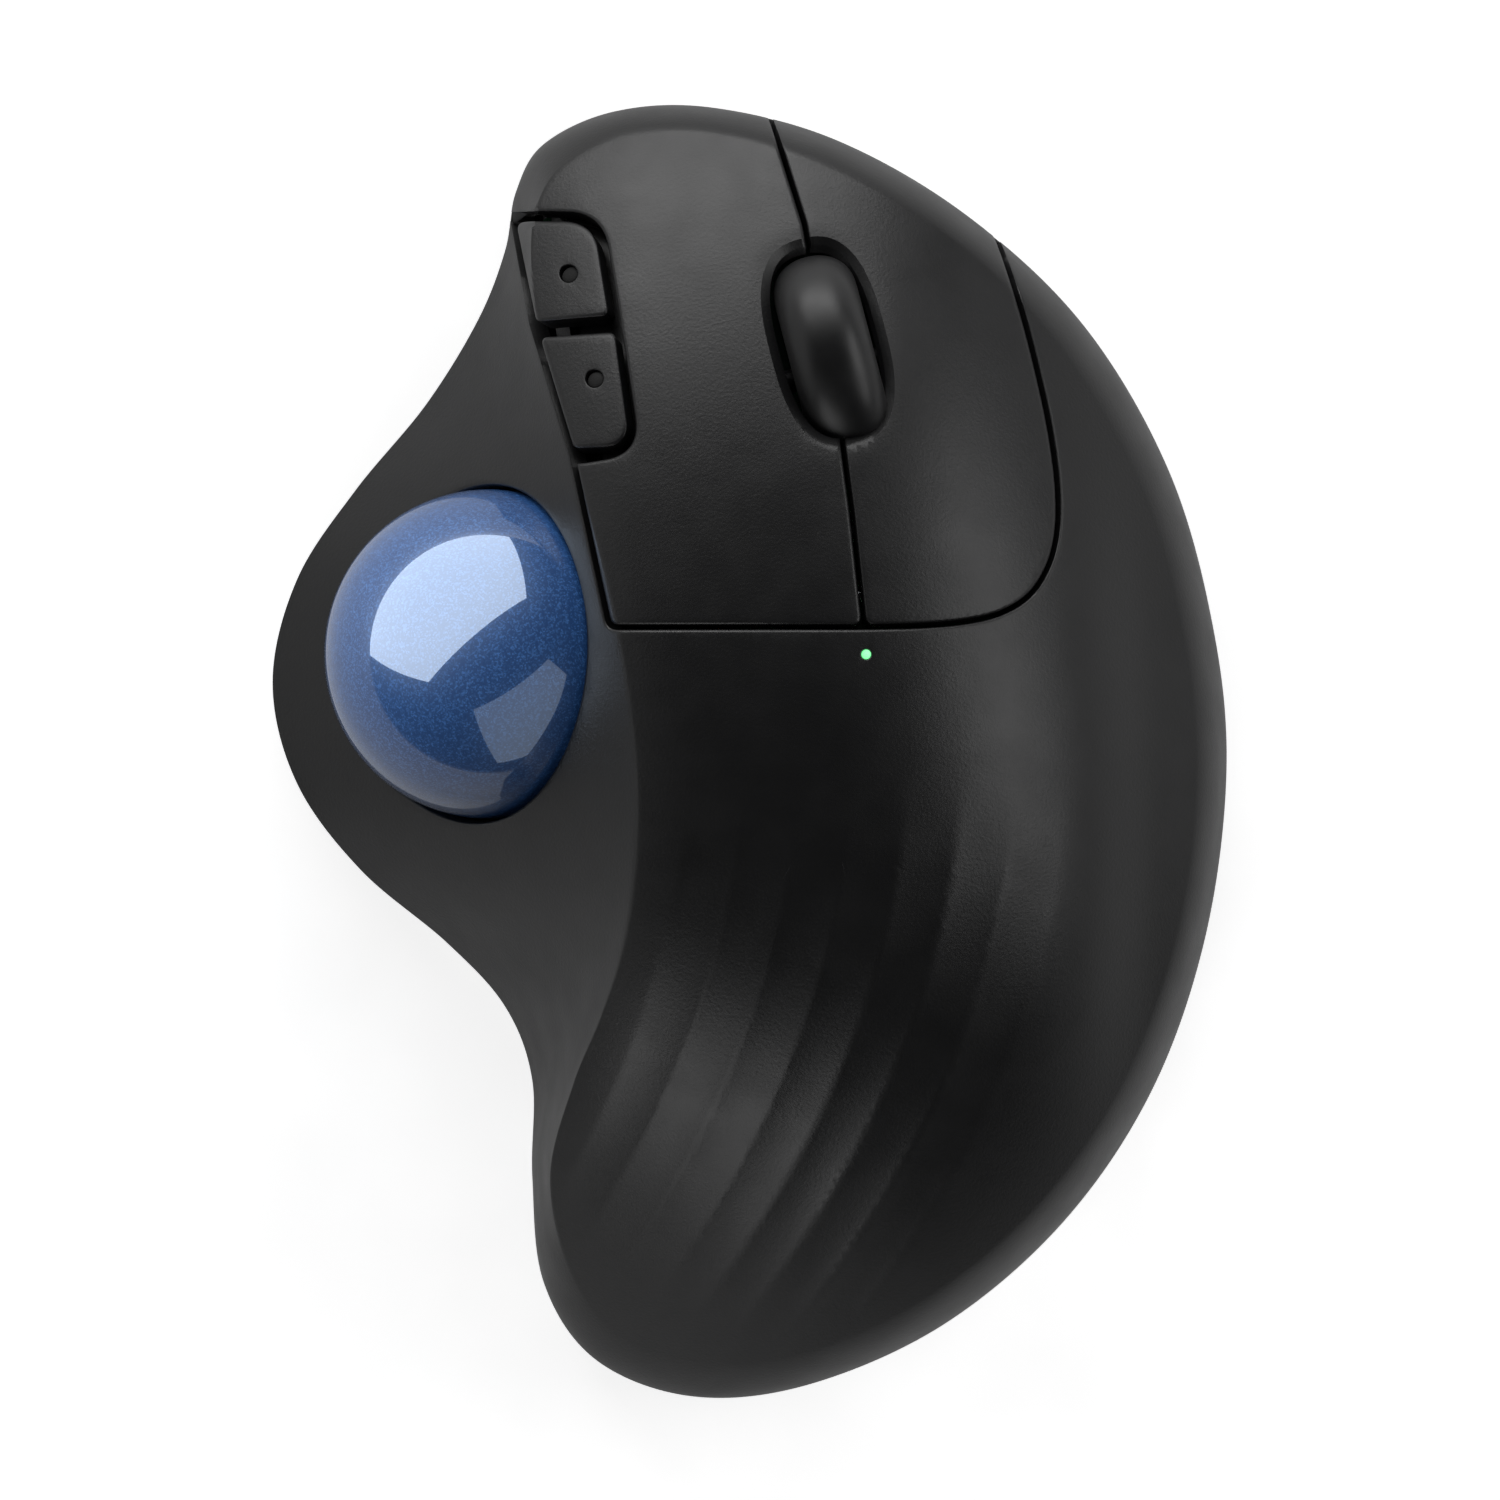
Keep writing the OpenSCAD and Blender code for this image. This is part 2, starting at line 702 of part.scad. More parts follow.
module base_screws() {
    color(steel)
        for (p = screw_at)
            translate([p[0], p[1], foot_h + 0.2])
                difference() {
                    union() {
                        cylinder(r = 2.4, h = 1.3);
                        cylinder(r = 1, h = 4.6);
                    }
                    translate([-0.35, -1.6, -1]) cube([0.7, 3.2, 1.6]);
                    translate([-1.6, -0.35, -1]) cube([3.2, 0.7, 1.6]);
                }
}

module rating_label() {
    color("#5a5c5e") translate([-11.8, -1.8, foot_h + 0.1]) cube([27.6, 12.6, 0.2]);
}

top_shell();
left_button();
right_button();
forward_button();
back_button();
wheel_tyre();
wheel_hub();
wheel_carrier();
carrier_pin();
wheel_stand();
encoder();
trackball();
ball_core();
ball_cup();
bearings();
ball_sensor();
sensor_board();
sensor_flex();
main_board();
radio_chip();
small_chips();
led_emitter();
light_guide();
click_switches();
switch_plungers();
side_switches();
hinge_pin();
standoffs();
base_shell();
battery_door();
battery_cell();
contact_plus();
contact_spring();
battery_wires();
receiver_shell();
receiver_plug();
power_slider();
power_switch();
pairing_button();
pairing_switch();
rubber_feet();
base_screws();
rating_label();
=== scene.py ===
"""Looks of a wireless thumb trackball mouse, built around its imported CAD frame.

The outer skin is one sculpted surface, cut into a palm shell, two click keys and two side keys.
Every length in the classes below is in millimetres and is turned to metres where a mesh is made.
"""

from __future__ import annotations

import json
import logging
import math
from dataclasses import dataclass, field
from enum import Enum
from typing import Any, Callable, Iterable, Sequence

import bpy
import numpy as np
from mathutils import Matrix, Vector
from mathutils.bvhtree import BVHTree
from mathutils.geometry import delaunay_2d_cdt

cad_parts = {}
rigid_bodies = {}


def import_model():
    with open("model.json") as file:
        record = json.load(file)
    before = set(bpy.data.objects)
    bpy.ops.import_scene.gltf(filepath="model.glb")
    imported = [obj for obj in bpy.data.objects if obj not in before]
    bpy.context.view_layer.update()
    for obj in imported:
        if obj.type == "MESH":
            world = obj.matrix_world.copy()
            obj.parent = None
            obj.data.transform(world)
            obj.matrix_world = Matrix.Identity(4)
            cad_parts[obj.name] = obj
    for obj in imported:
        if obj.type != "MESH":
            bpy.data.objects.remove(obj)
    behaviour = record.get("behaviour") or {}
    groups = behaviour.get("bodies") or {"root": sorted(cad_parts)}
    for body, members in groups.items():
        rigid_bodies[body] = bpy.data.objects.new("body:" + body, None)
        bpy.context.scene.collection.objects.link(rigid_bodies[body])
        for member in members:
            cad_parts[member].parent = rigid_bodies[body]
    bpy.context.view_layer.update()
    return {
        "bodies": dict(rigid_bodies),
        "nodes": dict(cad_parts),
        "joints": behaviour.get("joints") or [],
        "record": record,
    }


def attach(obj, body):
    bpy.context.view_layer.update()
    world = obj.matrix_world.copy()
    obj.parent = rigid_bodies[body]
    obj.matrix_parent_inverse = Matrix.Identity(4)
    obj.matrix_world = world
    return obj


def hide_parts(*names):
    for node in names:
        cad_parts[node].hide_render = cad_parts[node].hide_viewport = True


MM = 0.001
LOG = logging.getLogger("trackball")

BALL_CENTRE = (-26.9, 10.1, 24.5)
BALL_RADIUS = 17.0
BALL_TILT = math.radians(47)
WHEEL_CENTRE = (8.74, 39.34, 29.4)
SLOT_CENTRE = (8.0, 42.2)
WHEEL_TURN = math.radians(14.5)
LAMP_AT = (11.9, 10.0)
RIM_HEIGHT = 9.0
PART_LINE = 6.0
WALL_PLACES = (2.05, 2.1, 2.15, 2.18, 2.2)
SKY = 100.0
MIX_COLOUR_A, MIX_COLOUR_B, MIX_COLOUR_OUT = 6, 7, 2


class Body(Enum):
    """Rigid bodies of the frame that pieces ride on."""

    HOUSING = "housing"
    LEFT_KEY = "left_key"
    RIGHT_KEY = "right_key"
    FORWARD_KEY = "forward_key"
    BACK_KEY = "back_key"
    WHEEL = "scroll_wheel"


# ---------------------------------------------------------------- finishes


def linear(hex_colour: str) -> tuple[float, float, float, float]:
    """Turns an sRGB hex colour into linear values.

    Args:
        hex_colour: Six hex digits after a hash.

    Returns:
        Linear red, green, blue and an alpha of one.
    """
    parts = [int(hex_colour[i : i + 2], 16) / 255 for i in (1, 3, 5)]
    lin = [p / 12.92 if p <= 0.04045 else ((p + 0.055) / 1.055) ** 2.4 for p in parts]
    return (lin[0], lin[1], lin[2], 1.0)


def node(
    tree: bpy.types.NodeTree,
    kind: str,
    settings: dict[str | int, Any] | None = None,
    links: dict[str | int, bpy.types.NodeSocket] | None = None,
) -> bpy.types.Node:
    """Adds a shader node with its settings and incoming links.

    Args:
        tree: Node tree of the material.
        kind: Node type without the ShaderNode prefix.
        settings: Attribute names, input names or input numbers with their values.
        links: Input names or numbers with the output sockets that feed them.

    Returns:
        The new node.
    """
    made = tree.nodes.new("ShaderNode" + kind)
    for key, value in (settings or {}).items():
        if isinstance(key, str) and hasattr(made, key) and key not in made.inputs:
            setattr(made, key, value)
        else:
            made.inputs[key].default_value = value
    for key, source in (links or {}).items():
        tree.links.new(source, made.inputs[key])
    return made


def per_metre(size_mm: float) -> float:
    """Pattern scale of a noise or cell texture whose features are size_mm wide."""
    return 1.0 / (size_mm * MM)


@dataclass(frozen=True)
class Finish:
    """A surface finish that becomes one material.

    Attributes:
        label: Name of the material.
        colour: Base colour as sRGB hex.
        roughness: Base roughness.
        metallic: Zero for plastics, one for metals.
        ior: Index of refraction.
        coat: Weight of the clear coat.
        grain_mm: Width of one grain of the surface texture.
        grain_lift: Strength of the grain in the bump node.
        mottle: How far the roughness wanders.
    """

    label: str
    colour: str
    roughness: float = 0.5
    metallic: float = 0.0
    ior: float = 1.5
    coat: float = 0.0
    grain_mm: float = 0.3
    grain_lift: float = 0.15
    mottle: float = 0.06

    def base(self, tree: bpy.types.NodeTree, place: bpy.types.NodeSocket) -> bpy.types.NodeSocket:
        """Colour socket: the base colour with a faint, broad unevenness.

        Args:
            tree: Node tree of the material.
            place: Object coordinates.

        Returns:
            The colour output.
        """
        cloud = node(tree, "TexNoise", {"Scale": per_metre(14), "Detail": 2.0}, {"Vector": place})
        red, green, blue, _ = linear(self.colour)
        ramp = node(tree, "ValToRGB", {}, {"Fac": cloud.outputs["Fac"]})
        ramp.color_ramp.elements[0].position = 0.3
        ramp.color_ramp.elements[1].position = 0.7
        ramp.color_ramp.elements[0].color = (red * 0.94, green * 0.94, blue * 0.94, 1)
        ramp.color_ramp.elements[1].color = (red * 1.06, green * 1.06, blue * 1.06, 1)
        return ramp.outputs["Color"]

    def relief(self, tree: bpy.types.NodeTree, place: bpy.types.NodeSocket) -> bpy.types.NodeSocket:
        """Normal socket with the fine grain.

        Args:
            tree: Node tree of the material.
            place: Object coordinates.

        Returns:
            The normal output.
        """
        grain = node(
            tree,
            "TexNoise",
            {"Scale": per_metre(self.grain_mm), "Detail": 3.0, "Roughness": 0.6},
            {"Vector": place},
        )
        bump = node(
            tree,
            "Bump",
            {"Strength": self.grain_lift, "Distance": self.grain_mm * MM * 0.25},
            {"Height": grain.outputs["Fac"]},
        )
        return bump.outputs["Normal"]

    def gloss(self, tree: bpy.types.NodeTree, place: bpy.types.NodeSocket) -> bpy.types.NodeSocket:
        """Roughness socket that wanders a little around the base roughness.

        Args:
            tree: Node tree of the material.
            place: Object coordinates.

        Returns:
            The roughness output.
        """
        wear = node(tree, "TexNoise", {"Scale": per_metre(5), "Detail": 4.0}, {"Vector": place})
        low, high = self.roughness - self.mottle, self.roughness + self.mottle
        spread = node(
            tree,
            "MapRange",
            {"From Min": 0.3, "From Max": 0.7, "To Min": low, "To Max": high},
            {"Value": wear.outputs["Fac"]},
        )
        return spread.outputs["Result"]

    def constants(self) -> dict[str, Any]:
        """Shader inputs that are the same all over the surface."""
        return {"Metallic": self.metallic, "IOR": self.ior, "Coat Weight": self.coat}

    def build(self) -> bpy.types.Material:
        """Makes the material, or returns the one made before.

        Returns:
            The material.
        """
        found = bpy.data.materials.get(self.label)
        if found:
            return found
        material = bpy.data.materials.new(self.label)
        material.use_nodes = True
        tree = material.node_tree
        tree.nodes.clear()
        place = node(tree, "TexCoord").outputs["Object"]
        shader = node(
            tree,
            "BsdfPrincipled",
            self.constants(),
            {
                "Base Color": self.base(tree, place),
                "Roughness": self.gloss(tree, place),
                "Normal": self.relief(tree, place),
            },
        )
        node(tree, "OutputMaterial", {}, {"Surface": shader.outputs["BSDF"]})
        return material


@dataclass(frozen=True)
class SparkGrainAbs(Finish):
    """Charcoal ABS moulded against a spark-eroded tool: a dry sparkle of tiny pits that softens every highlight."""

    label: str = "spark_grain_abs"
    colour: str = "#111112"
    roughness: float = 0.4
    grain_mm: float = 0.34  # real pits are about 0.1 mm, drawn coarser so that they show
    grain_lift: float = 0.32
    mottle: float = 0.03


@dataclass(frozen=True)
class SatinRubber(Finish):
    """Black silicone rubber from a polished mould: darker and softer than the shell, with a tight silky highlight."""

    label: str = "satin_rubber"
    colour: str = "#101011"
    roughness: float = 0.42
    grain_mm: float = 0.2
    grain_lift: float = 0.08


@dataclass(frozen=True)
class PearlResin(Finish):
    """Polished polyester resin with mica flakes: deep navy that glitters finely under a hard clear surface."""

    label: str = "pearl_resin"
    colour: str = "#10233c"
    flake: str = "#2f4c6e"
    roughness: float = 0.36
    flake_mm: float = 0.16
    coat: float = 1.0
    mottle: float = 0.02

    def flakes(self, tree: bpy.types.NodeTree, place: bpy.types.NodeSocket) -> Any:
        """Outputs with two random values for each flake."""
        cells = node(tree, "TexVoronoi", {"Scale": per_metre(self.flake_mm)}, {"Vector": place})
        return node(tree, "SeparateColor", {}, {"Color": cells.outputs["Color"]}).outputs

    def base(self, tree: bpy.types.NodeTree, place: bpy.types.NodeSocket) -> bpy.types.NodeSocket:
        """Navy resin with lighter flakes scattered through it."""
        picked = node(
            tree,
            "MapRange",
            {"From Min": 0.55, "From Max": 1.0, "To Min": 0.0, "To Max": 0.45},
            {"Value": self.flakes(tree, place)["Red"]},
        )
        mixed = node(
            tree,
            "Mix",
            {"data_type": "RGBA", MIX_COLOUR_A: linear(self.colour), MIX_COLOUR_B: linear(self.flake)},
            {"Factor": picked.outputs["Result"]},
        )
        return mixed.outputs[MIX_COLOUR_OUT]

    def relief(self, tree: bpy.types.NodeTree, place: bpy.types.NodeSocket) -> bpy.types.NodeSocket:
        """Flakes lie at slightly different angles below the clear surface."""
        tilt = self.flakes(tree, place)["Green"]
        return node(tree, "Bump", {"Strength": 0.25, "Distance": 0.00004}, {"Height": tilt}).outputs["Normal"]

    def constants(self) -> dict[str, Any]:
        """A dark flake layer under a smooth, thick clear coat that carries the reflections."""
        return {
            "Metallic": self.metallic,
            "IOR": 1.3,
            "Coat Weight": self.coat,
            "Coat Roughness": 0.025,
            "Coat IOR": 1.58,
        }


@dataclass(frozen=True)
class GroundSteel(Finish):
    """Ground and nickel-flashed steel: bright grey metal with a fine haze."""

    label: str = "ground_steel"
    colour: str = "#b9bcc0"
    roughness: float = 0.28
    metallic: float = 1.0
    grain_mm: float = 0.15
    grain_lift: float = 0.1


@dataclass(frozen=True)
class LitAcrylic(Finish):
    """Polished acrylic light guide, lit from its foot: a small pale green point that glows."""

    label: str = "lit_acrylic"
    colour: str = "#b9f5c6"
    roughness: float = 0.15
    glow: float = 1.3

    def constants(self) -> dict[str, Any]:
        """Clear plastic constants with a green glow."""
        return {"Metallic": 0.0, "IOR": 1.49, "Emission Color": linear("#6fe890")}

    def build(self) -> bpy.types.Material:
        """Makes the material, whose glow is kept to the tip of the guide."""
        material = super().build()
        tree = material.node_tree
        if "tip" not in tree.nodes:
            place = node(tree, "TexCoord").outputs["Object"]
            height = node(tree, "SeparateXYZ", {}, {"Vector": place})
            fade = node(
                tree,
                "MapRange",
                {"name": "tip", "From Min": 0.0452, "From Max": 0.0459, "To Min": 0.0, "To Max": self.glow},
                {"Value": height.outputs["Z"]},
            )
            shader = next(n for n in tree.nodes if n.type == "BSDF_PRINCIPLED")
            tree.links.new(fade.outputs["Result"], shader.inputs["Emission Strength"])
        return material


@dataclass(frozen=True)
class BacklitPaper(Finish):
    """Seamless white paper lit from behind: an even pale ground that takes only a soft shadow."""

    label: str = "backlit_paper"
    colour: str = "#f0f0f0"
    roughness: float = 0.9
    grain_mm: float = 1.0
    grain_lift: float = 0.03
    camera_glow: float = 0.6
    room_glow: float = 0.12

    def constants(self) -> dict[str, Any]:
        """Paper constants with its own even light."""
        return {"Metallic": 0.0, "Emission Color": linear("#ffffff")}

    def build(self) -> bpy.types.Material:
        """Makes the paper, which can't be seen from below and lets the under light through."""
        material = super().build()
        tree = material.node_tree
        shader = next(n for n in tree.nodes if n.type == "BSDF_PRINCIPLED")
        output = next(n for n in tree.nodes if n.type == "OUTPUT_MATERIAL")
        behind = node(tree, "NewGeometry").outputs["Backfacing"]
        path = node(tree, "LightPath").outputs
        glow = node(
            tree,
            "Math",
            {"operation": "MULTIPLY_ADD", 1: self.camera_glow, 2: self.room_glow},
            {0: path["Is Camera Ray"]},
        )
        tree.links.new(glow.outputs["Value"], shader.inputs["Emission Strength"])
        either = node(tree, "Math", {"operation": "MAXIMUM"}, {0: behind, 1: path["Is Shadow Ray"]})
        clear = node(tree, "BsdfTransparent")
        mixed = node(
            tree,
            "MixShader",
            {},
            {"Fac": either.outputs["Value"], 1: shader.outputs["BSDF"], 2: clear.outputs["BSDF"]},
        )
        tree.links.new(mixed.outputs["Shader"], output.inputs["Surface"])
        return material


SHELL_ABS = SparkGrainAbs()
BASE_ABS = SparkGrainAbs(label="base_abs", colour="#101011", roughness=0.48)
DEEP_ABS = SparkGrainAbs(label="inner_abs", colour="#2c2d2f", roughness=0.55)
TYRE = SatinRubber()
FOOT = SatinRubber(label="foot_rubber", colour="#121213", roughness=0.6, grain_mm=0.3, grain_lift=0.2)
# Near-black disc sunk under each side key's dot hole: its colour is painted shade for the dark hole.
DOT_HOLE_SHADE = SatinRubber(label="painted_dot_hole_shade", colour="#060606", roughness=0.75, grain_lift=0.2)
BALL = PearlResin()
BALL_HEART = Finish(label="cast_resin", colour="#5f7fae", roughness=0.3, grain_mm=0.8)
STEEL = GroundSteel()
NICKEL = GroundSteel(label="nickel_plate", colour="#c4c0b2", roughness=0.22)
CERAMIC = Finish(label="zirconia", colour="#e8e4da", roughness=0.12, ior=2.1, grain_lift=0.02)
BOARD = Finish(label="solder_mask", colour="#1d5a38", roughness=0.3, coat=0.4, grain_mm=0.6, grain_lift=0.2)
CHIP = Finish(label="moulded_epoxy", colour="#1a1a1c", roughness=0.6, grain_mm=0.12)
FLEX = Finish(label="polyimide_film", colour="#b06f2c", roughness=0.25, grain_lift=0.05)
ACETAL = Finish(label="natural_acetal", colour="#a9abad", roughness=0.4, grain_lift=0.06)
NYLON = Finish(label="grey_nylon", colour="#3a3b3e", roughness=0.5, grain_mm=0.25)
ENCODER = Finish(label="encoder_blue", colour="#28517f", roughness=0.45)
IVORY = Finish(label="ivory_acetal", colour="#e6dcc0", roughness=0.4)
WRAP = Finish(label="shrink_sleeve", colour="#b8862c", roughness=0.25, coat=0.5, grain_lift=0.04)
WIRE = Finish(label="pvc_sleeve", colour="#a32020", roughness=0.35, grain_lift=0.05)
WHITE = Finish(label="white_abs", colour="#d6d7d8", roughness=0.45, grain_lift=0.12)
FILM = Finish(label="printed_film", colour="#4d4f52", roughness=0.35, grain_lift=0.06)
GLOW = LitAcrylic()
LENS = Finish(label="led_epoxy", colour="#bfe8c8", roughness=0.2, grain_lift=0.02)


def dress(piece: bpy.types.Object, finish: Finish) -> None:
    """Gives a piece one finish all over."""
    piece.data.materials.clear()
    piece.data.materials.append(finish.build())


# ---------------------------------------------------------------- sculpted skin


def catmull(rows: np.ndarray, where: np.ndarray) -> np.ndarray:
    """Smooth closed curve through rows.

    Args:
        rows: Values at whole numbers.
        where: Places on the curve, in rows.

    Returns:
        The values at those places.
    """
    first = np.floor(where).astype(int)
    part = (where - first)[..., None]
    a, b, c, d = (rows[(first + step) % len(rows)] for step in (-1, 0, 1, 2))
    return 0.5 * (
        2 * b + (c - a) * part + (2 * a - 5 * b + 4 * c - d) * part**2 + (3 * b - a - 3 * c + d) * part**3
    )


def rounded_loop(corners: Sequence[tuple[float, float, float]], spacing: float = 0.5) -> np.ndarray:
    """Closed plan polyline with rounded corners.

    Args:
        corners: x, y and corner radius of each corner, counter-clockwise or clockwise.
        spacing: Largest distance between points.

    Returns:
        Points of the loop, counter-clockwise.
    """
    pts: list[np.ndarray] = []
    total = len(corners)
    for i in range(total):
        prev, here, nxt = (np.array(corners[(i + k) % total][:2], float) for k in (-1, 0, 1))
        to_prev, to_next = prev - here, nxt - here
        reach = min(np.linalg.norm(to_prev), np.linalg.norm(to_next)) * 0.49
        to_prev, to_next = to_prev / np.linalg.norm(to_prev), to_next / np.linalg.norm(to_next)
        half = math.acos(float(np.clip(to_prev @ to_next, -1, 1))) / 2
        cut = min(corners[i][2] / max(math.tan(half), 1e-3), reach)
        start, end = here + to_prev * cut, here + to_next * cut
        count = max(2, int(cut * 2 / 0.3) + 1)
        for step in np.linspace(0, 1, count):
            pts.append((1 - step) ** 2 * start + 2 * step * (1 - step) * here + step**2 * end)
    loop: list[np.ndarray] = []
    for i, here in enumerate(pts):
        nxt = pts[(i + 1) % len(pts)]
        gap = float(np.linalg.norm(nxt - here))
        if gap < 1e-4:
            continue
        pieces = max(1, int(math.ceil(gap / spacing)))
        loop += [here + (nxt - here) * k / pieces for k in range(pieces)]
    out = np.array(loop)
    turn = np.roll(out, -1, 0)
    area = float(np.sum(out[:, 0] * turn[:, 1] - turn[:, 0] * out[:, 1]))
    return out if area > 0 else out[::-1]


def circle(centre: tuple[float, float], radius: float, steps: int = 40) -> np.ndarray:
    """Counter-clockwise plan circle."""
    turn = np.arange(steps) * math.tau / steps
    return np.stack([centre[0] + radius * np.cos(turn), centre[1] + radius * np.sin(turn)], 1)


def offset_loop(loop: np.ndarray, inward: float) -> np.ndarray:
    """Moves a counter-clockwise loop inwards (or outwards when negative) along its normals."""
    along = np.roll(loop, -1, 0) - np.roll(loop, 1, 0)
    along /= np.linalg.norm(along, axis=1, keepdims=True)
    return loop + np.stack([-along[:, 1], along[:, 0]], 1) * inward


def inside_loop(loop: np.ndarray, pts: np.ndarray) -> np.ndarray:
    """True for each point that lies inside the closed loop."""
    out = np.zeros(len(pts), bool)
    ax, ay = loop[:, 0], loop[:, 1]
    bx, by = np.roll(ax, -1), np.roll(ay, -1)
    for x0, y0, x1, y1 in zip(ax, ay, bx, by):
        if y0 == y1:
            continue
        hit = (y0 > pts[:, 1]) != (y1 > pts[:, 1])
        cross = x0 + (pts[:, 1] - y0) / (y1 - y0) * (x1 - x0)
        out ^= hit & (pts[:, 0] < cross)
    return out


def loop_distance(loop: np.ndarray, pts: np.ndarray, closed: bool = True) -> np.ndarray:
    """Distance of each point from a polyline.

    Args:
        loop: Points of the polyline.
        pts: Points to measure.
        closed: Whether the last point joins the first.

    Returns:
        One distance for each point.
    """
    best = np.full(len(pts), 1e9)
    ends = np.roll(loop, -1, 0)
    count = len(loop) if closed else len(loop) - 1
    for a, b in zip(loop[:count], ends[:count]):
        ab = b - a
        t = np.clip(((pts - a) @ ab) / max(float(ab @ ab), 1e-12), 0, 1)
        best = np.minimum(best, np.linalg.norm(pts - a - t[:, None] * ab, axis=1))
    return best


def blend(part: np.ndarray, a: Any, b: Any) -> np.ndarray:
    """Mixes two values; part is the share of the second."""
    return (1 - part) * a + part * b


Spot = tuple[float, float, np.ndarray]


@dataclass
class Sculpt:
    """The sculpted outer surface as a grid of columns round the outline and rows from crown to rim."""

    crown_height: float = 48.0
    front_fall: float = 27.5
    rear_fall: float = 34.0
    valley: float = 1.6
    middle: tuple[float, float] = (8.0, -5.0)
    per_station: int = 15
    first_station: int = 1
    crease_round: float = 0.13
    stations: tuple[tuple[float, ...], ...] = (
        (49.4, -2, 46, -2.2, 0), (48, 13, 44.6, 12.2, 0), (43.4, 29.2, 40.4, 27.2, 0),
        (34.6, 44.2, 32, 41.6, 0), (22.5, 55.6, 21, 52.6, 0), (9, 63.4, 8.2, 60, 0),
        (-4, 66.8, -3.6, 63.6, 0), (-14, 66.4, -12.8, 63.4, 0), (-21.4, 63, -19.2, 60.6, 0.3),
        (-24.3, 58, -22, 56.4, 0.8), (-25.4, 52, -22.6, 51, 1), (-28.2, 44.8, -21.8, 43.6, 1),
        (-33.6, 36, -19.6, 35, 1), (-41, 27, -17, 26, 1), (-47, 17.8, -14.6, 17, 1),
        (-49.5, 7.2, -12.6, 7, 1), (-47, -3.2, -11.6, -3.4, 1), (-40.4, -12.2, -11.9, -12.6, 1),
        (-31.4, -19.8, -13.1, -20.4, 1), (-25.4, -26.4, -15.4, -27.4, 1),
        (-22.6, -34, -18.2, -34.2, 1), (-22.6, -44, -20.6, -43.6, 0.75),
        (-21.4, -55, -18.8, -53, 0.25), (-16, -63, -14, -59.8, 0), (-6, -66.8, -5.2, -63, 0),
        (6, -65.6, 5.4, -62, 0), (20, -59.4, 18.2, -56.2, 0), (32.4, -48.8, 29.8, -46.4, 0),
        (41.6, -35.2, 38.6, -33.6, 0), (47.2, -19.2, 44, -18.2, 0),
    )
    u: np.ndarray = field(init=False)
    v: np.ndarray = field(init=False)
    grid: np.ndarray = field(init=False)
    tree: BVHTree = field(init=False)

    def __post_init__(self) -> None:
        """Works out the grid and the search tree over it."""
        count = len(self.stations)
        columns = count * self.per_station
        self.u = np.arange(columns + 1) / self.per_station
        last = 1 - np.array([0.052, 0.036, 0.024, 0.015, 0.008, 0.004, 0.0])
        top = np.concatenate([np.linspace(0, 0.93, 60), last])
        first = np.array([0.01, 0.022, 0.036, 0.055, 0.08])
        flank = np.concatenate([first, np.linspace(0.11, 0.93, 34), [0.955, 0.975, 0.99, 1.0]])
        self.v = np.concatenate([top, 1 + flank, WALL_PLACES])
        rows = catmull(np.array(self.stations, float), (self.u + self.first_station) % count)
        outline, seam, crease = rows[:, 0:2], rows[:, 2:4], np.clip(rows[:, 4], 0, 1)
        outline = outline + (seam - outline) / np.linalg.norm(seam - outline, axis=1, keepdims=True) * 0.04
        mid = np.array(self.middle)
        plan = mid + top[:, None, None] * (seam - mid)
        upper = np.concatenate([plan, self.crown(plan[..., 0], plan[..., 1])[..., None]], 2)
        lower = self._flank(outline, seam, crease, flank)
        wall = self._wall(outline, seam)
        self.grid = self._soften(np.concatenate([upper, lower], 0), len(top) - 1, crease)
        self.grid = np.concatenate([self.grid, wall], 0)
        self.grid[:, -1] = self.grid[:, 0]
        self._index()

    def crown(self, x: np.ndarray, y: np.ndarray) -> np.ndarray:
        """Height of the top face over plan points."""
        ahead = self.front_fall * (np.abs(y + 6) / 72) ** 2
        behind = self.rear_fall * (np.abs(y + 6) / 61) ** 2.2
        across = 0.0064 * np.abs(x - (6 - 5 * np.clip(y, 0, 60) / 60)) ** 2.22
        valley_x = 41.5 - 0.0022 * (y + 3) ** 2
        dip = self.valley * np.exp(-(((x - valley_x) / 4.6) ** 2)) * np.exp(-(((y + 4) / 30) ** 4))
        return self.crown_height - np.where(y > -6, ahead, behind) - across - dip

    def _flank(self, outline: np.ndarray, seam: np.ndarray, crease: np.ndarray, rows: np.ndarray) -> np.ndarray:
        """Rows from the seam down to the rim: a rolled edge, or the steep thumb side where there is a crease."""
        height = self.crown(seam[:, 0], seam[:, 1])
        span = outline - seam
        width = np.linalg.norm(span, axis=1)
        step = span / width[:, None] * 0.2
        slope = (height - self.crown(seam[:, 0] + step[:, 0], seam[:, 1] + step[:, 1])) / 0.2
        fall = height - RIM_HEIGHT
        steep = 1.45 - 0.45 * width / 37
        drop = np.minimum(slope * width, fall * 0.8)
        f1, f2 = blend(crease, 0.55, 1 / 3), blend(crease, 1.0, 0.92)
        q1 = blend(crease, height - drop * 0.55, height - steep * fall / 3)
        q2 = blend(crease, height - drop - 0.35 * (fall - drop), RIM_HEIGHT + 0.07 * fall)
        t = rows[:, None]
        b0, b1, b2, b3 = (1 - t) ** 3, 3 * t * (1 - t) ** 2, 3 * t * t * (1 - t), t**3
        go = b1 * f1 + b2 * f2 + b3
        z = b0 * height + b1 * q1 + b2 * q2 + b3 * RIM_HEIGHT
        plan = seam + go[..., None] * span
        return np.concatenate([plan, z[..., None]], 2)

    def _wall(self, outline: np.ndarray, seam: np.ndarray) -> np.ndarray:
        """Upright band below the rim, with a small rounded foot at the parting line."""
        inward = (seam - outline) / np.linalg.norm(seam - outline, axis=1, keepdims=True)
        rows = []
        for z, tuck in ((7.9, 0), (6.8, 0), (6.35, 0.0), (6.12, 0.1), (PART_LINE + 0.02, 0.32)):
            plan = outline + inward * tuck
            rows.append(np.concatenate([plan, np.full((len(plan), 1), z)], 1))
        return np.array(rows)

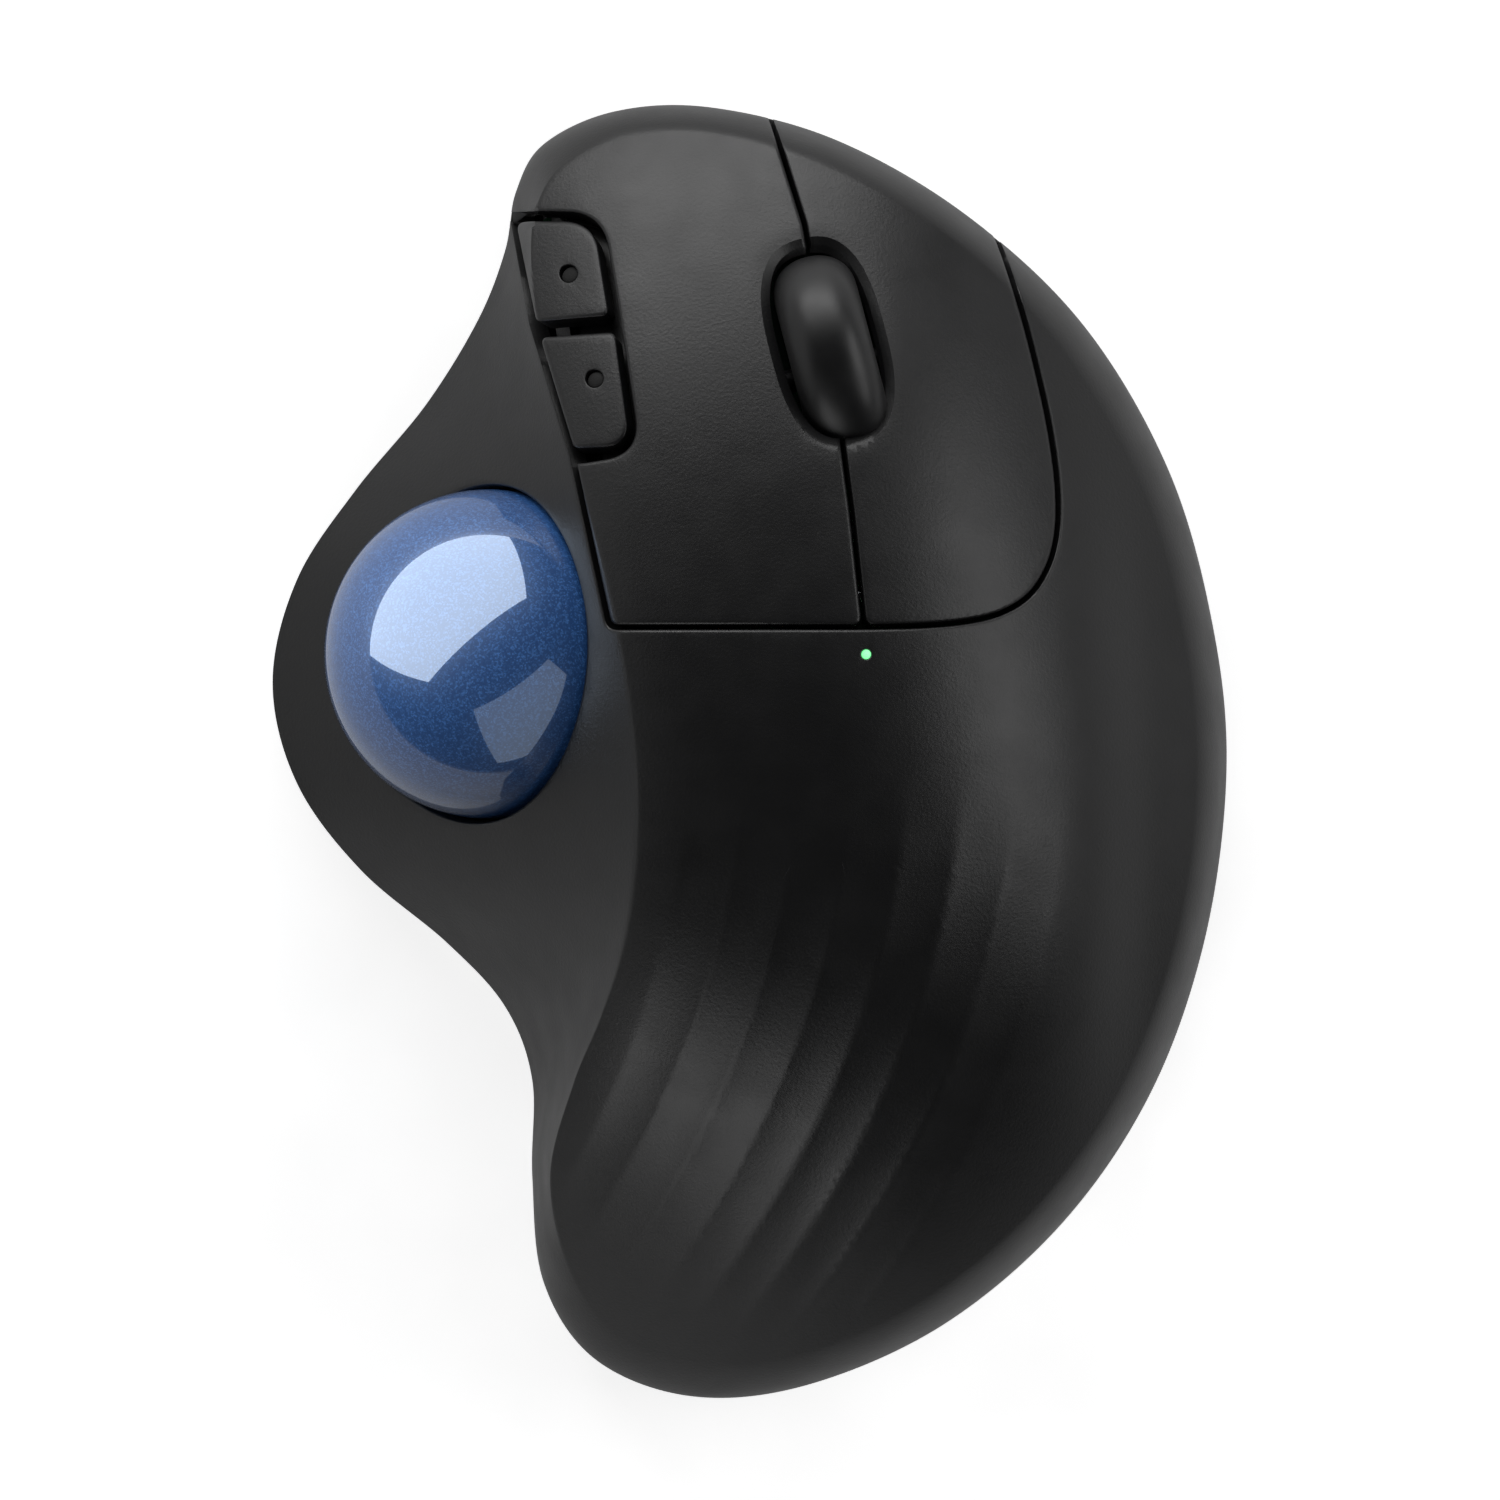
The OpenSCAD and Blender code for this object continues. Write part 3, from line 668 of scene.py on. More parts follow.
    def _soften(self, grid: np.ndarray, seam_row: int, crease: np.ndarray) -> np.ndarray:
        """Rounds the crease by averaging each column along its own length near the seam.

        Args:
            grid: Rows by columns of points.
            seam_row: Row that lies on the seam.
            crease: How sharp the crease is in each column.

        Returns:
            The softened grid.
        """
        out = grid.copy()
        shifts = np.linspace(-2.2, 2.2, 23)
        weights = np.exp(-0.5 * (shifts / (self.crease_round * 1.4)) ** 2)
        weights /= weights.sum()
        for column in np.nonzero(crease > 0.02)[0]:
            line = grid[:, column]
            length = np.concatenate([[0], np.cumsum(np.linalg.norm(np.diff(line, axis=0), axis=1))])
            near = np.nonzero(np.abs(length - length[seam_row]) < 3.0)[0]
            for axis in range(3):
                spots = length[near][:, None] + shifts[None, :]
                out[near, column, axis] = np.interp(spots, length, line[:, axis]) @ weights
        return out

    def _index(self) -> None:
        """Builds the search tree over the grid's quads."""
        rows, columns = self.grid.shape[:2]
        points = [Vector(p) for p in self.grid.reshape(-1, 3)]
        quads = [
            (r * columns + c, r * columns + c + 1, (r + 1) * columns + c + 1, (r + 1) * columns + c)
            for r in range(rows - 1)
            for c in range(columns - 1)
        ]
        self.tree = BVHTree.FromPolygons(points, quads)

    def hit(self, origin: Sequence[float], direction: Sequence[float]) -> Spot | None:
        """Where a ray meets the surface.

        Args:
            origin: Start of the ray.
            direction: Its direction.

        Returns:
            Column place, row place and point, or None when the ray misses.
        """
        place, _, index, _ = self.tree.ray_cast(Vector(origin), Vector(direction))
        if index is None:
            return None
        columns = self.grid.shape[1] - 1
        r, c = divmod(index, columns)
        a, b, d, e = self.grid[r, c], self.grid[r, c + 1], self.grid[r + 1, c], self.grid[r + 1, c + 1]
        s, t = 0.5, 0.5
        target = np.array(place)
        for _ in range(6):
            here = (1 - s) * (1 - t) * a + s * (1 - t) * b + (1 - s) * t * d + s * t * e
            ds = (1 - t) * (b - a) + t * (e - d)
            dt = (1 - s) * (d - a) + s * (e - b)
            step, *_ = np.linalg.lstsq(np.stack([ds, dt], 1), target - here, rcond=None)
            s, t = s + step[0], t + step[1]
        s, t = min(max(s, 0), 1), min(max(t, 0), 1)
        return (
            float(self.u[c] + s * (self.u[c + 1] - self.u[c])),
            float(self.v[r] + t * (self.v[r + 1] - self.v[r])),
            target,
        )

    def at(self, u: float, v: float) -> np.ndarray:
        """Point of the surface at a column and row place."""
        c = int(np.clip(np.searchsorted(self.u, u) - 1, 0, len(self.u) - 2))
        r = int(np.clip(np.searchsorted(self.v, v) - 1, 0, len(self.v) - 2))
        s = (u - self.u[c]) / (self.u[c + 1] - self.u[c])
        t = (v - self.v[r]) / (self.v[r + 1] - self.v[r])
        near, far = self.grid[r], self.grid[r + 1]
        return (1 - s) * (1 - t) * near[c] + s * (1 - t) * near[c + 1] + (1 - s) * t * far[c] + s * t * far[c + 1]

    def below(self, x: float, y: float) -> Spot | None:
        """Where the surface lies under a plan point, or None outside the outline."""
        return self.hit((x, y, SKY), (0, 0, -1))

    def height(self, x: float, y: float) -> float:
        """Height of the surface over a plan point, or zero outside the outline."""
        found = self.below(x, y)
        return float(found[2][2]) if found else 0.0


class Edge(Enum):
    """How the edge along a cut is finished."""

    ROLLED = "rolled"
    BEVELLED = "bevelled"


class Cut:
    """A closed cut through the skin. Subclasses say what lies on the kept side."""

    width: float
    edge: Edge

    def depth(self, pts: np.ndarray) -> np.ndarray:
        """How far the edge finish sinks each point."""
        gap = np.clip(self.distance(pts), 0, self.width)
        if self.edge is Edge.BEVELLED:
            return (self.width - gap) * 0.6
        return self.width - np.sqrt(np.maximum(self.width**2 - (self.width - gap) ** 2, 0))

    def keeps(self, pts: np.ndarray) -> np.ndarray:
        """True for each point on the kept side."""
        raise NotImplementedError

    def distance(self, pts: np.ndarray) -> np.ndarray:
        """Distance of each point from the cut's edge."""
        raise NotImplementedError

    def rings(self, skin: Sculpt, offset: float, v_end: float) -> list[list[Spot]]:
        """Polylines on the skin at an offset from the edge, on the kept side."""
        raise NotImplementedError

    def sink(self) -> np.ndarray:
        """Unit direction in which the edge is rounded off."""
        raise NotImplementedError


@dataclass
class PlanCut(Cut):
    """A cut straight down along a plan loop.

    Attributes:
        loop: Counter-clockwise plan loop.
        keep_inside: Whether the piece lies inside the loop.
        width: Width of the finished edge.
        edge: Kind of edge.
    """

    loop: np.ndarray
    keep_inside: bool = True
    width: float = 0.35
    edge: Edge = Edge.ROLLED

    def keeps(self, pts: np.ndarray) -> np.ndarray:
        """True for each point on the kept side of the loop."""
        return inside_loop(self.loop, pts[:, :2]) == self.keep_inside

    def distance(self, pts: np.ndarray) -> np.ndarray:
        """Plan distance from the loop."""
        return loop_distance(self.loop, pts[:, :2])

    def sink(self) -> np.ndarray:
        """The edge rounds off downwards."""
        return np.array([0, 0, -1.0])

    def rings(self, skin: Sculpt, offset: float, v_end: float) -> list[list[Spot]]:
        """Follows the offset loop over the skin, and down the wall where it leaves the outline."""
        loop = offset_loop(self.loop, offset if self.keep_inside else -offset)
        spots = [skin.below(*p) for p in loop]
        total = len(loop)
        if all(s is not None for s in spots):
            return [spots + [spots[0]]]
        runs: list[list[Spot]] = []
        start = next(i for i in range(total) if spots[i] is not None and spots[i - 1] is None)
        run: list[Spot] = []
        for k in range(total + 1):
            i = (start + k) % total
            here, before = spots[i], spots[i - 1]
            if here is not None and before is None:
                if k == total:
                    break
                run = self._rim(skin, loop[i], loop[i - 1], v_end)[::-1]
            if here is not None and k < total:
                run.append(here)
            if here is None and before is not None:
                run += self._rim(skin, loop[i - 1], loop[i], v_end)
                runs.append(run)
                run = []
        return runs

    def _rim(self, skin: Sculpt, inner: np.ndarray, outer: np.ndarray, v_end: float) -> list[Spot]:
        """Spots where the cut reaches the rim and runs down the wall."""
        for _ in range(26):
            middle = (inner + outer) / 2
            if skin.below(*middle) is None:
                outer = middle
            else:
                inner = middle
        u, reached, _ = skin.below(*inner)
        stops = [1.9, 1.955, 1.99, 2.0, *(WALL_PLACES if v_end > 2 else ())]
        return [(u, v, skin.at(u, v)) for v in stops if v > reached + 0.004 or v >= 2.0]


@dataclass
class TiltCut(Cut):
    """The round ball opening, cut along the tilted ball axis.

    Attributes:
        centre: Point on the axis.
        axis: Direction out of the opening.
        radius: Radius of the opening.
        width: Width of the finished edge.
        edge: Kind of edge.
    """

    centre: np.ndarray
    axis: np.ndarray
    radius: float
    width: float = 0.5
    edge: Edge = Edge.ROLLED

    def _off_axis(self, pts: np.ndarray) -> np.ndarray:
        """Distance of each point from the axis, large for points behind the centre."""
        rel = pts - self.centre
        along = rel @ self.axis
        out = np.linalg.norm(rel - along[:, None] * self.axis, axis=1)
        return np.where(along > -14, out, 1e3)

    def keeps(self, pts: np.ndarray) -> np.ndarray:
        """True outside the opening."""
        return self._off_axis(pts) > self.radius

    def distance(self, pts: np.ndarray) -> np.ndarray:
        """Distance from the opening's edge."""
        return np.abs(self._off_axis(pts) - self.radius)

    def sink(self) -> np.ndarray:
        """The edge rounds off into the opening."""
        return -self.axis

    def rings(self, skin: Sculpt, offset: float, v_end: float) -> list[list[Spot]]:
        """A ring of rays parallel to the axis."""
        side = np.cross(self.axis, [0, 1, 0])
        side /= np.linalg.norm(side)
        other = np.cross(self.axis, side)
        spots = []
        for turn in np.arange(240) * math.tau / 240:
            start = self.centre + (side * math.cos(turn) + other * math.sin(turn)) * (self.radius + offset)
            spots.append(skin.hit(start + self.axis * 60, -self.axis))
        return [spots + [spots[0]]]


@dataclass
class Panel:
    """A piece of the skin between cuts, with rounded edges and a wall thickness.

    Attributes:
        skin: The sculpted surface.
        cuts: Cuts that bound the piece.
        v_end: Last row of the surface that the piece reaches.
        wall: Thickness.
        sink: Distance of the piece below the skin.
        lines: Open plan polylines that the mesh follows.
        relief: Extra height at plan points.
    """

    skin: Sculpt
    cuts: list[Cut]
    v_end: float = 2.0
    wall: float = 1.9
    sink: float = 0.0
    lines: list[np.ndarray] = field(default_factory=list)
    relief: Callable[[np.ndarray], np.ndarray] | None = None

    def build(self, name: str) -> bpy.types.Object:
        """Makes the piece.

        Args:
            name: Name of the new object.

        Returns:
            The closed mesh object.
        """
        places, points, edges, keys = self._inputs()
        scale = np.array([12.0, 34.0])
        coords = [Vector(p) for p in np.array(places) * scale]
        out, _, faces, origin, _, _ = delaunay_2d_cdt(coords, edges, [], 0, 1e-7, True)
        ids: list[int] = []
        solid: list[np.ndarray] = []
        seen: dict[Any, int] = {}
        for place, source in zip(out, origin):
            key = keys[source[0]] if source else (round(place[0], 6), round(place[1], 6))
            if key not in seen:
                seen[key] = len(solid)
                u, v = place[0] / scale[0], place[1] / scale[1]
                solid.append(points[source[0]] if source else self.skin.at(u, v))
            ids.append(seen[key])
        pts = np.array(solid)
        tris = np.array([[ids[i] for i in face] for face in faces])
        tris = tris[(tris[:, 0] != tris[:, 1]) & (tris[:, 1] != tris[:, 2]) & (tris[:, 0] != tris[:, 2])]
        middle = pts[tris].mean(1)
        keep = np.ones(len(tris), bool)
        for cut in self.cuts:
            keep &= cut.keeps(middle)
        tris = tris[keep]
        used, inverse = np.unique(tris, return_inverse=True)
        return self._close(name, pts[used], inverse.reshape(tris.shape))

    def _inputs(self) -> tuple[list, list, list, list]:
        """Points, constraint edges and merge keys for the triangulation."""
        skin = self.skin
        rows = int(np.searchsorted(skin.v, self.v_end + 1e-6))
        columns = len(skin.u)
        flat = skin.grid[:rows].reshape(-1, 3)
        free = np.ones(len(flat), bool)
        for cut in self.cuts:
            inner = cut.keeps(flat)
            span = cut.distance(flat)
            free &= (span > cut.width + 0.18) & (inner | (span < 4.0))
        for line in self.lines:
            free &= loop_distance(line, flat[:, :2], closed=False) > 0.25
        places, points, keys, edges = [], [], [], []
        for index in np.nonzero(free)[0]:
            r, c = divmod(int(index), columns)
            places.append((skin.u[c], skin.v[r]))
            points.append(flat[index])
            keys.append(("pole",) if r == 0 else ("grid", r, c % (columns - 1)))
        bends = (0.0, 0.13, 0.35, 0.65, 1.0)
        polylines = [
            run for cut in self.cuts for bend in bends for run in cut.rings(skin, bend * cut.width, self.v_end)
        ]
        for line in self.lines:
            spots = [skin.below(*p) for p in line]
            polylines.append([s for s in spots if s is not None])
        for number, run in enumerate(polylines):
            closed = run[0] is run[-1]
            body = run[:-1] if closed else run
            base = len(places)
            for k, (u, v, point) in enumerate(body):
                places.append((u, v))
                points.append(point)
                keys.append(("line", number, k))
            edges += [(base + k, base + k + 1) for k in range(len(body) - 1)]
            if closed:
                edges.append((base + len(body) - 1, base))
        return places, points, edges, keys

    def _close(self, name: str, pts: np.ndarray, tris: np.ndarray) -> bpy.types.Object:
        """Rounds the edges, adds the relief and closes the piece with side walls and an underside."""
        a, b, c = pts[tris[:, 0]], pts[tris[:, 1]], pts[tris[:, 2]]
        facing = np.cross(b - a, c - a)
        if facing[:, 2].sum() < 0:
            tris, facing = tris[:, ::-1], -facing
        normal = np.zeros_like(pts)
        for k in range(3):
            np.add.at(normal, tris[:, k], facing)
        normal /= np.linalg.norm(normal, axis=1, keepdims=True) + 1e-12
        top = pts - normal * self.sink
        if self.relief:
            top[:, 2] += self.relief(pts)
        for cut in self.cuts:
            top += cut.sink() * cut.depth(pts)[:, None]
        under = pts - normal * (self.sink + self.wall)
        under[:, 2] = np.maximum(under[:, 2], pts[:, 2].min())
        pairs: dict[tuple[int, int], int] = {}
        for tri in tris.tolist():
            for k in range(3):
                pairs[(tri[k], tri[(k + 1) % 3])] = 1
        shift = len(pts)
        sides = [(j, i, i + shift, j + shift) for i, j in pairs if (j, i) not in pairs]
        faces = tris.tolist() + (tris[:, ::-1] + shift).tolist() + sides
        return make_mesh(name, np.concatenate([top, under]), faces, sharp=24)


def make_mesh(
    name: str, points: np.ndarray, faces: Sequence[Sequence[int]], sharp: float = 40.0
) -> bpy.types.Object:
    """Makes a smooth-shaded mesh object.

    Args:
        name: Name of the object.
        points: Vertices in millimetres.
        faces: Vertex indices of each face.
        sharp: Edges bent by more than this many degrees stay crisp.

    Returns:
        The object, linked to the scene.
    """
    mesh = bpy.data.meshes.new(name)
    mesh.from_pydata((np.asarray(points) * MM).tolist(), [], [list(f) for f in faces])
    mesh.validate()
    mesh.polygons.foreach_set("use_smooth", [True] * len(mesh.polygons))
    mesh.set_sharp_from_angle(angle=math.radians(sharp))
    made = bpy.data.objects.new(name, mesh)
    bpy.context.scene.collection.objects.link(made)
    return made


def place_piece(
    piece: bpy.types.Object, body: Body, finish: Finish, replaces: Iterable[str] = ()
) -> bpy.types.Object:
    """Dresses a piece, hangs it on its body and reports it.

    Args:
        piece: The new object.
        body: Body that it rides on.
        finish: Its surface.
        replaces: CAD nodes that it stands for.

    Returns:
        The piece.
    """
    dress(piece, finish)
    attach(piece, body.value)
    names = list(replaces)
    if names:
        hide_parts(*names)
    LOG.info("%s rides on %s, %d faces", piece.name, body.value, len(piece.data.polygons))
    return piece


def lathe(profile: Sequence[tuple[float, float]], steps: int = 96) -> tuple[np.ndarray, list[tuple[int, ...]]]:
    """Turns a closed profile round the Z axis.

    Args:
        profile: Radius and height of each point, in order.
        steps: Points round the circle.

    Returns:
        Vertices and faces.
    """
    turn = np.arange(steps) * math.tau / steps
    rad = np.array([p[0] for p in profile])[:, None]
    lift = np.array([p[1] for p in profile])[:, None]
    pts = np.stack([rad * np.cos(turn), rad * np.sin(turn), lift + 0 * turn], 2).reshape(-1, 3)
    faces = []
    for i in range(len(profile)):
        low, high = i * steps, (i + 1) % len(profile) * steps
        faces += [(low + k, low + (k + 1) % steps, high + (k + 1) % steps, high + k) for k in range(steps)]
    return pts, faces


def wheel_frame() -> Matrix:
    """Frame of the wheel: X along the axle, Y forwards."""
    return Matrix.Translation(Vector(WHEEL_CENTRE)) @ Matrix.Rotation(WHEEL_TURN, 4, "Z")


def placed(points: np.ndarray, frame: Matrix) -> np.ndarray:
    """Moves points by a matrix."""
    rot = np.array(frame.to_3x3())
    return points @ rot.T + np.array(frame.translation)


# ---------------------------------------------------------------- sub-assemblies


@dataclass
class KeyPlan:
    """Plan outlines of the keys and of the openings round them."""

    gap: float = 0.5
    slot_square: float = 2.7
    flank: tuple[tuple[float, float], ...] = (
        (16.6, 12.9), (21.6, 13.3), (25.6, 14.2), (28.7, 16.1), (30.7, 19.2), (31.6, 23.0), (31.6, 27.6),
        (30.9, 33.0), (29.7, 38.8), (28.2, 44.8), (26.4, 50.6), (24.4, 56.6), (18.4, 75.0),
    )

    def right_side(self, inset: float) -> list[tuple[float, float, float]]:
        """Flowing right-hand side of the keys, from the rear to the front.

        Args:
            inset: How far inside the opening it runs.

        Returns:
            Points with a tiny corner radius.
        """
        knots = np.array([(11.6, 12.8), *self.flank, (12.0, 94.0)])
        spots = np.concatenate([np.arange(1, 13, 0.2), [13.0]])
        line = catmull(knots, spots)
        ahead = catmull(knots, spots + 0.01) - catmull(knots, spots - 0.01)
        ahead /= np.linalg.norm(ahead, axis=1, keepdims=True)
        line = line + np.stack([-ahead[:, 1], ahead[:, 0]], 1) * inset
        return [(float(x), float(y), 0.02) for x, y in line]

    def zone(self) -> np.ndarray:
        """Loop round all the keys."""
        return rounded_loop(
            [
                (-40, 55.8, 0.5), (-24.6, 55.4, 0.8), (-22.5, 44.2, 6), (-18.3, 30.7, 6), (-14.4, 12.8, 0.9),
                (11.6, 12.8, 1), *self.right_side(0.0), (-40, 75, 1),
            ]
        )

    def split(self) -> list[tuple[float, float]]:
        """Line between the left and right keys, rear to front."""
        return [(11.7, 12.8), (10.4, 25), (9.4, 32.5), (7.2, 46), (5.6, 54.4), (2.0, 66), (-1.4, 75)]

    def beside_split(self, shift: float) -> list[tuple[float, float, float]]:
        """Split line moved sideways, with a corner radius at each point."""
        line = [(x + shift, y, 3.0 if 0 < i < 6 else 0.5) for i, (x, y) in enumerate(self.split())]
        return [(line[0][0], line[0][1] + self.gap / 2, 0.9), *line[1:]]

    def left(self) -> np.ndarray:
        """Loop of the left key before the side keys and the wheel slot are taken out."""
        return rounded_loop(
            [
                *self.beside_split(-self.gap / 2), (-40, 75, 1), (-40, 56.2, 0.5), (-24.3, 55.7, 0.5),
                (-22.2, 44.2, 6), (-18.0, 30.7, 6), (-14.2, 12.8 + self.gap / 2, 0.9),
            ]
        )

    def right(self) -> np.ndarray:
        """Loop of the right key before the wheel slot is taken out."""
        first, *rest = self.beside_split(self.gap / 2)
        return rounded_loop([first, *self.right_side(self.gap / 2), *rest[::-1]])

    def side_pocket(self) -> np.ndarray:
        """Loop of the opening round both side keys."""
        return rounded_loop(
            [
                (-30, 56.1, 0.3), (-15.2, 55.6, 4.5), (-13.3, 44.2, 8), (-11.2, 30.6, 4.2), (-19, 29.4, 1),
                (-30, 29.2, 0.3),
            ]
        )

    def forward(self) -> np.ndarray:
        """Loop of the forward key."""
        return rounded_loop([(-24.2, 54.8, 0.8), (-16.1, 54.7, 3.8), (-14.5, 44.9, 0.8), (-22.0, 44.3, 0.7)])

    def back(self) -> np.ndarray:
        """Loop of the back key."""
        return rounded_loop([(-21.6, 42.7, 0.7), (-13.9, 43.2, 0.8), (-12.3, 31.4, 3.8), (-18.1, 31.2, 0.7)])

    def slot(self, half_length: float, half_width: float) -> np.ndarray:
        """Loop of the wheel slot.

        Args:
            half_length: Half its length along the wheel.
            half_width: Half its width.

        Returns:
            The loop.
        """
        turn = np.arange(96) * math.tau / 96
        power = 2 / self.slot_square
        u = half_width * np.sign(np.cos(turn)) * np.abs(np.cos(turn)) ** power
        w = half_length * np.sign(np.sin(turn)) * np.abs(np.sin(turn)) ** power
        cos, sin = math.cos(WHEEL_TURN), math.sin(WHEEL_TURN)
        return np.stack([SLOT_CENTRE[0] + u * cos - w * sin, SLOT_CENTRE[1] + u * sin + w * cos], 1)


@dataclass
class PalmShell:
    """One-piece top shell: palm rest, thumb wing and ball opening, with fluted grip strips at the rear."""

    skin: Sculpt
    plan: KeyPlan
    opening: float = 17.4
    ball_gap: float = 0.3
    strip_pitch: float = 5.6
    strip_first: float = -6.2
    strip_count: int = 8
    strip_bend: float = 0.00627
    strip_depth: float = 0.24
    strip_start: float = 0.0
    strip_full: float = -20.0
    strip_end: float = -60.0
    lamp_radius: float = 0.55

    def strip_lines(self) -> list[np.ndarray]:
        """Plan lines along the steps of the grip strips."""
        lines = []
        for number in range(self.strip_count):
            y = np.arange(self.strip_start - 12.0, self.strip_end, -0.5)
            x = self.strip_first + self.strip_pitch * number - self.strip_bend * (0.8 - y) ** 2
            inside = [i for i in range(len(y)) if self._on_top(x[i], y[i])]
            if len(inside) > 4:
                lines.append(np.stack([x, y], 1)[inside])
        return lines

    def _on_top(self, x: float, y: float) -> bool:
        """Whether a plan point is well inside the top face."""
        found = self.skin.below(x, y)
        return found is not None and found[1] < 0.965

    def strips(self, pts: np.ndarray) -> np.ndarray:
        """Depth of the grip strips: shallow flutes that meet in crisp lines and fade in behind the keys."""
        behind = 0.8 - pts[:, 1]
        phase = (pts[:, 0] - self.strip_first + self.strip_bend * behind**2) / self.strip_pitch
        flute = 4 * (phase - np.floor(phase) - 0.5) ** 2 - 1
        fade = np.clip((self.strip_start - pts[:, 1]) / (self.strip_start - self.strip_full), 0, 1)
        between = (phase > 0) & (phase < self.strip_count - 1)
        span = np.linalg.norm((pts[:, :2] - np.array(self.skin.middle)) / np.array([43, 60]), axis=1)
        rim = np.clip((1.0 - span) / 0.14, 0, 1)
        return self.strip_depth * flute * fade**2 * (3 - 2 * fade) * between * rim

    def build(self) -> bpy.types.Object:
        """Makes the shell.

        Returns:
            The shell piece.
        """
        axis = np.array([-math.sin(BALL_TILT), 0, math.cos(BALL_TILT)])
        cuts: list[Cut] = [
            PlanCut(offset_loop(self.plan.zone(), -self.plan.gap / 2), keep_inside=False),
            TiltCut(np.array(BALL_CENTRE), axis, self.opening),
            PlanCut(circle(LAMP_AT, self.lamp_radius), keep_inside=False, width=0.1),
        ]
        panel = Panel(self.skin, cuts, v_end=2.2, lines=self.strip_lines(), relief=self.strips)
        shell = panel.build("palm_shell")
        self.clear_ball(shell)
        return place_piece(shell, Body.HOUSING, SHELL_ABS, ["top_shell"])

    def clear_ball(self, shell: bpy.types.Object) -> None:
        """Keeps the underside of the opening off the ball.

        Args:
            shell: The shell piece.
        """
        centre = Vector(BALL_CENTRE) * MM
        reach = (BALL_RADIUS + self.ball_gap) * MM
        for vertex in shell.data.vertices:
            out = vertex.co - centre
            if out.length < reach:
                vertex.co = centre + out.normalized() * reach
        shell.data.update()


@dataclass
class ClickKeys:
    """Left and right click keys with the wheel slot between them."""

    skin: Sculpt
    plan: KeyPlan
    slot_length: float = 10.05
    slot_width: float = 5.1
    slot_bevel: float = 0.95
    wall: float = 1.4

    def build(self) -> None:
        """Makes both keys."""
        rim = self.plan.slot(self.slot_length, self.slot_width)
        slot = PlanCut(rim, keep_inside=False, width=self.slot_bevel, edge=Edge.BEVELLED)
        pocket = PlanCut(self.plan.side_pocket(), keep_inside=False)
        jobs = (
            ("left", self.plan.left(), Body.LEFT_KEY, [slot, pocket]),
            ("right", self.plan.right(), Body.RIGHT_KEY, [slot]),
        )
        for side, loop, body, cuts in jobs:
            panel = Panel(self.skin, [PlanCut(loop), *cuts], wall=self.wall, relief=self.dish)
            place_piece(panel.build(side + "_click_key"), body, SHELL_ABS, [side + "_button"])

    def dish(self, pts: np.ndarray) -> np.ndarray:
        """Keys dip a little towards the wheel slot."""
        span = loop_distance(self.plan.slot(self.slot_length, self.slot_width), pts[:, :2])
        return -0.25 * np.clip(1 - span / 2.6, 0, 1) ** 2


@dataclass
class SideKeys:
    """Forward and back keys with a locating dot on each: a small hole over a sunk disc coloured near-black as painted
    shade.
    """

    skin: Sculpt
    plan: KeyPlan
    dots: tuple[tuple[float, float], ...] = ((-18.7, 49.3), (-16.0, 38.4))
    dot_radius: float = 0.95
    tray_depth: float = 3.4

    def dot(self, name: str, spot: tuple[float, float]) -> bpy.types.Object:
        """Makes the disc sunk under a key's dot hole, coloured near-black as painted shade.

        Args:
            name: Name of the piece.
            spot: Plan point of its middle.

        Returns:
            The inlay.
        """
        rad = self.dot_radius
        arc = [(rad * math.sin(a), -0.42 + 0.22 * math.cos(a)) for a in np.linspace(math.pi / 2, 0.02, 7)]
        pts, faces = lathe([(0.01, -1.4), (rad, -1.4), *arc], 40)
        step = 0.4
        ends = []
        for dx, dy in ((step, 0), (-step, 0), (0, step), (0, -step)):
            x, y = spot[0] + dx, spot[1] + dy
            ends.append(np.array([x, y, self.skin.height(x, y)]))
        up = Vector(np.cross(ends[0] - ends[1], ends[2] - ends[3])).normalized()
        where = Vector((spot[0], spot[1], self.skin.height(*spot)))
        frame = Matrix.Translation(where) @ up.to_track_quat("Z", "Y").to_matrix().to_4x4()
        return make_mesh(name, placed(pts, frame), faces)

    def build(self) -> None:
        """Makes both side keys."""
        jobs = (
            ("forward_side_key", self.plan.forward(), Body.FORWARD_KEY, "forward_button", self.dots[0]),
            ("back_side_key", self.plan.back(), Body.BACK_KEY, "back_button", self.dots[1]),
        )
        for name, loop, body, stands_for, spot in jobs:
            hole = PlanCut(circle(spot, self.dot_radius), keep_inside=False, width=0.12)
            panel = Panel(self.skin, [PlanCut(loop, width=0.45), hole])
            place_piece(panel.build(name), body, SHELL_ABS, [stands_for])
            # The dot's disc is near-black as painted shade in the hole.
            place_piece(self.dot(name + "_dot", spot), body, DOT_HOLE_SHADE)
        tray = Panel(self.skin, [PlanCut(offset_loop(self.plan.side_pocket(), -0.35))], wall=0.6, sink=self.tray_depth)
        place_piece(tray.build("side_key_tray"), Body.HOUSING, BASE_ABS)


@dataclass
class ScrollWheel:
    """Barrel-shaped rubber tyre on its hub."""

    radius: float = 12.0
    width: float = 8.7
    bore: float = 8.0
    crown: float = 4.0
    square: float = 2.15

    def profile(self) -> list[tuple[float, float]]:
        """Section of the tyre: bore, then a soft barrel."""
        half = self.width / 2
        section = [(self.bore, half - 0.3), (self.bore, -half + 0.3)]
        for step in np.linspace(-math.pi / 2, math.pi / 2, 33):
            across = half * math.copysign(abs(math.sin(step)) ** (2 / self.square), step)
            out = self.radius - self.crown + self.crown * abs(math.cos(step)) ** (2 / self.square)
            section.append((out, across))
        return section

    def build(self) -> None:
        """Makes the tyre."""
        pts, faces = lathe(self.profile(), 128)
        pts = pts[:, [2, 0, 1]]
        tyre = make_mesh("wheel_tyre_rubber", placed(pts, wheel_frame()), faces, sharp=50)
        place_piece(tyre, Body.WHEEL, TYRE, ["wheel_tyre"])


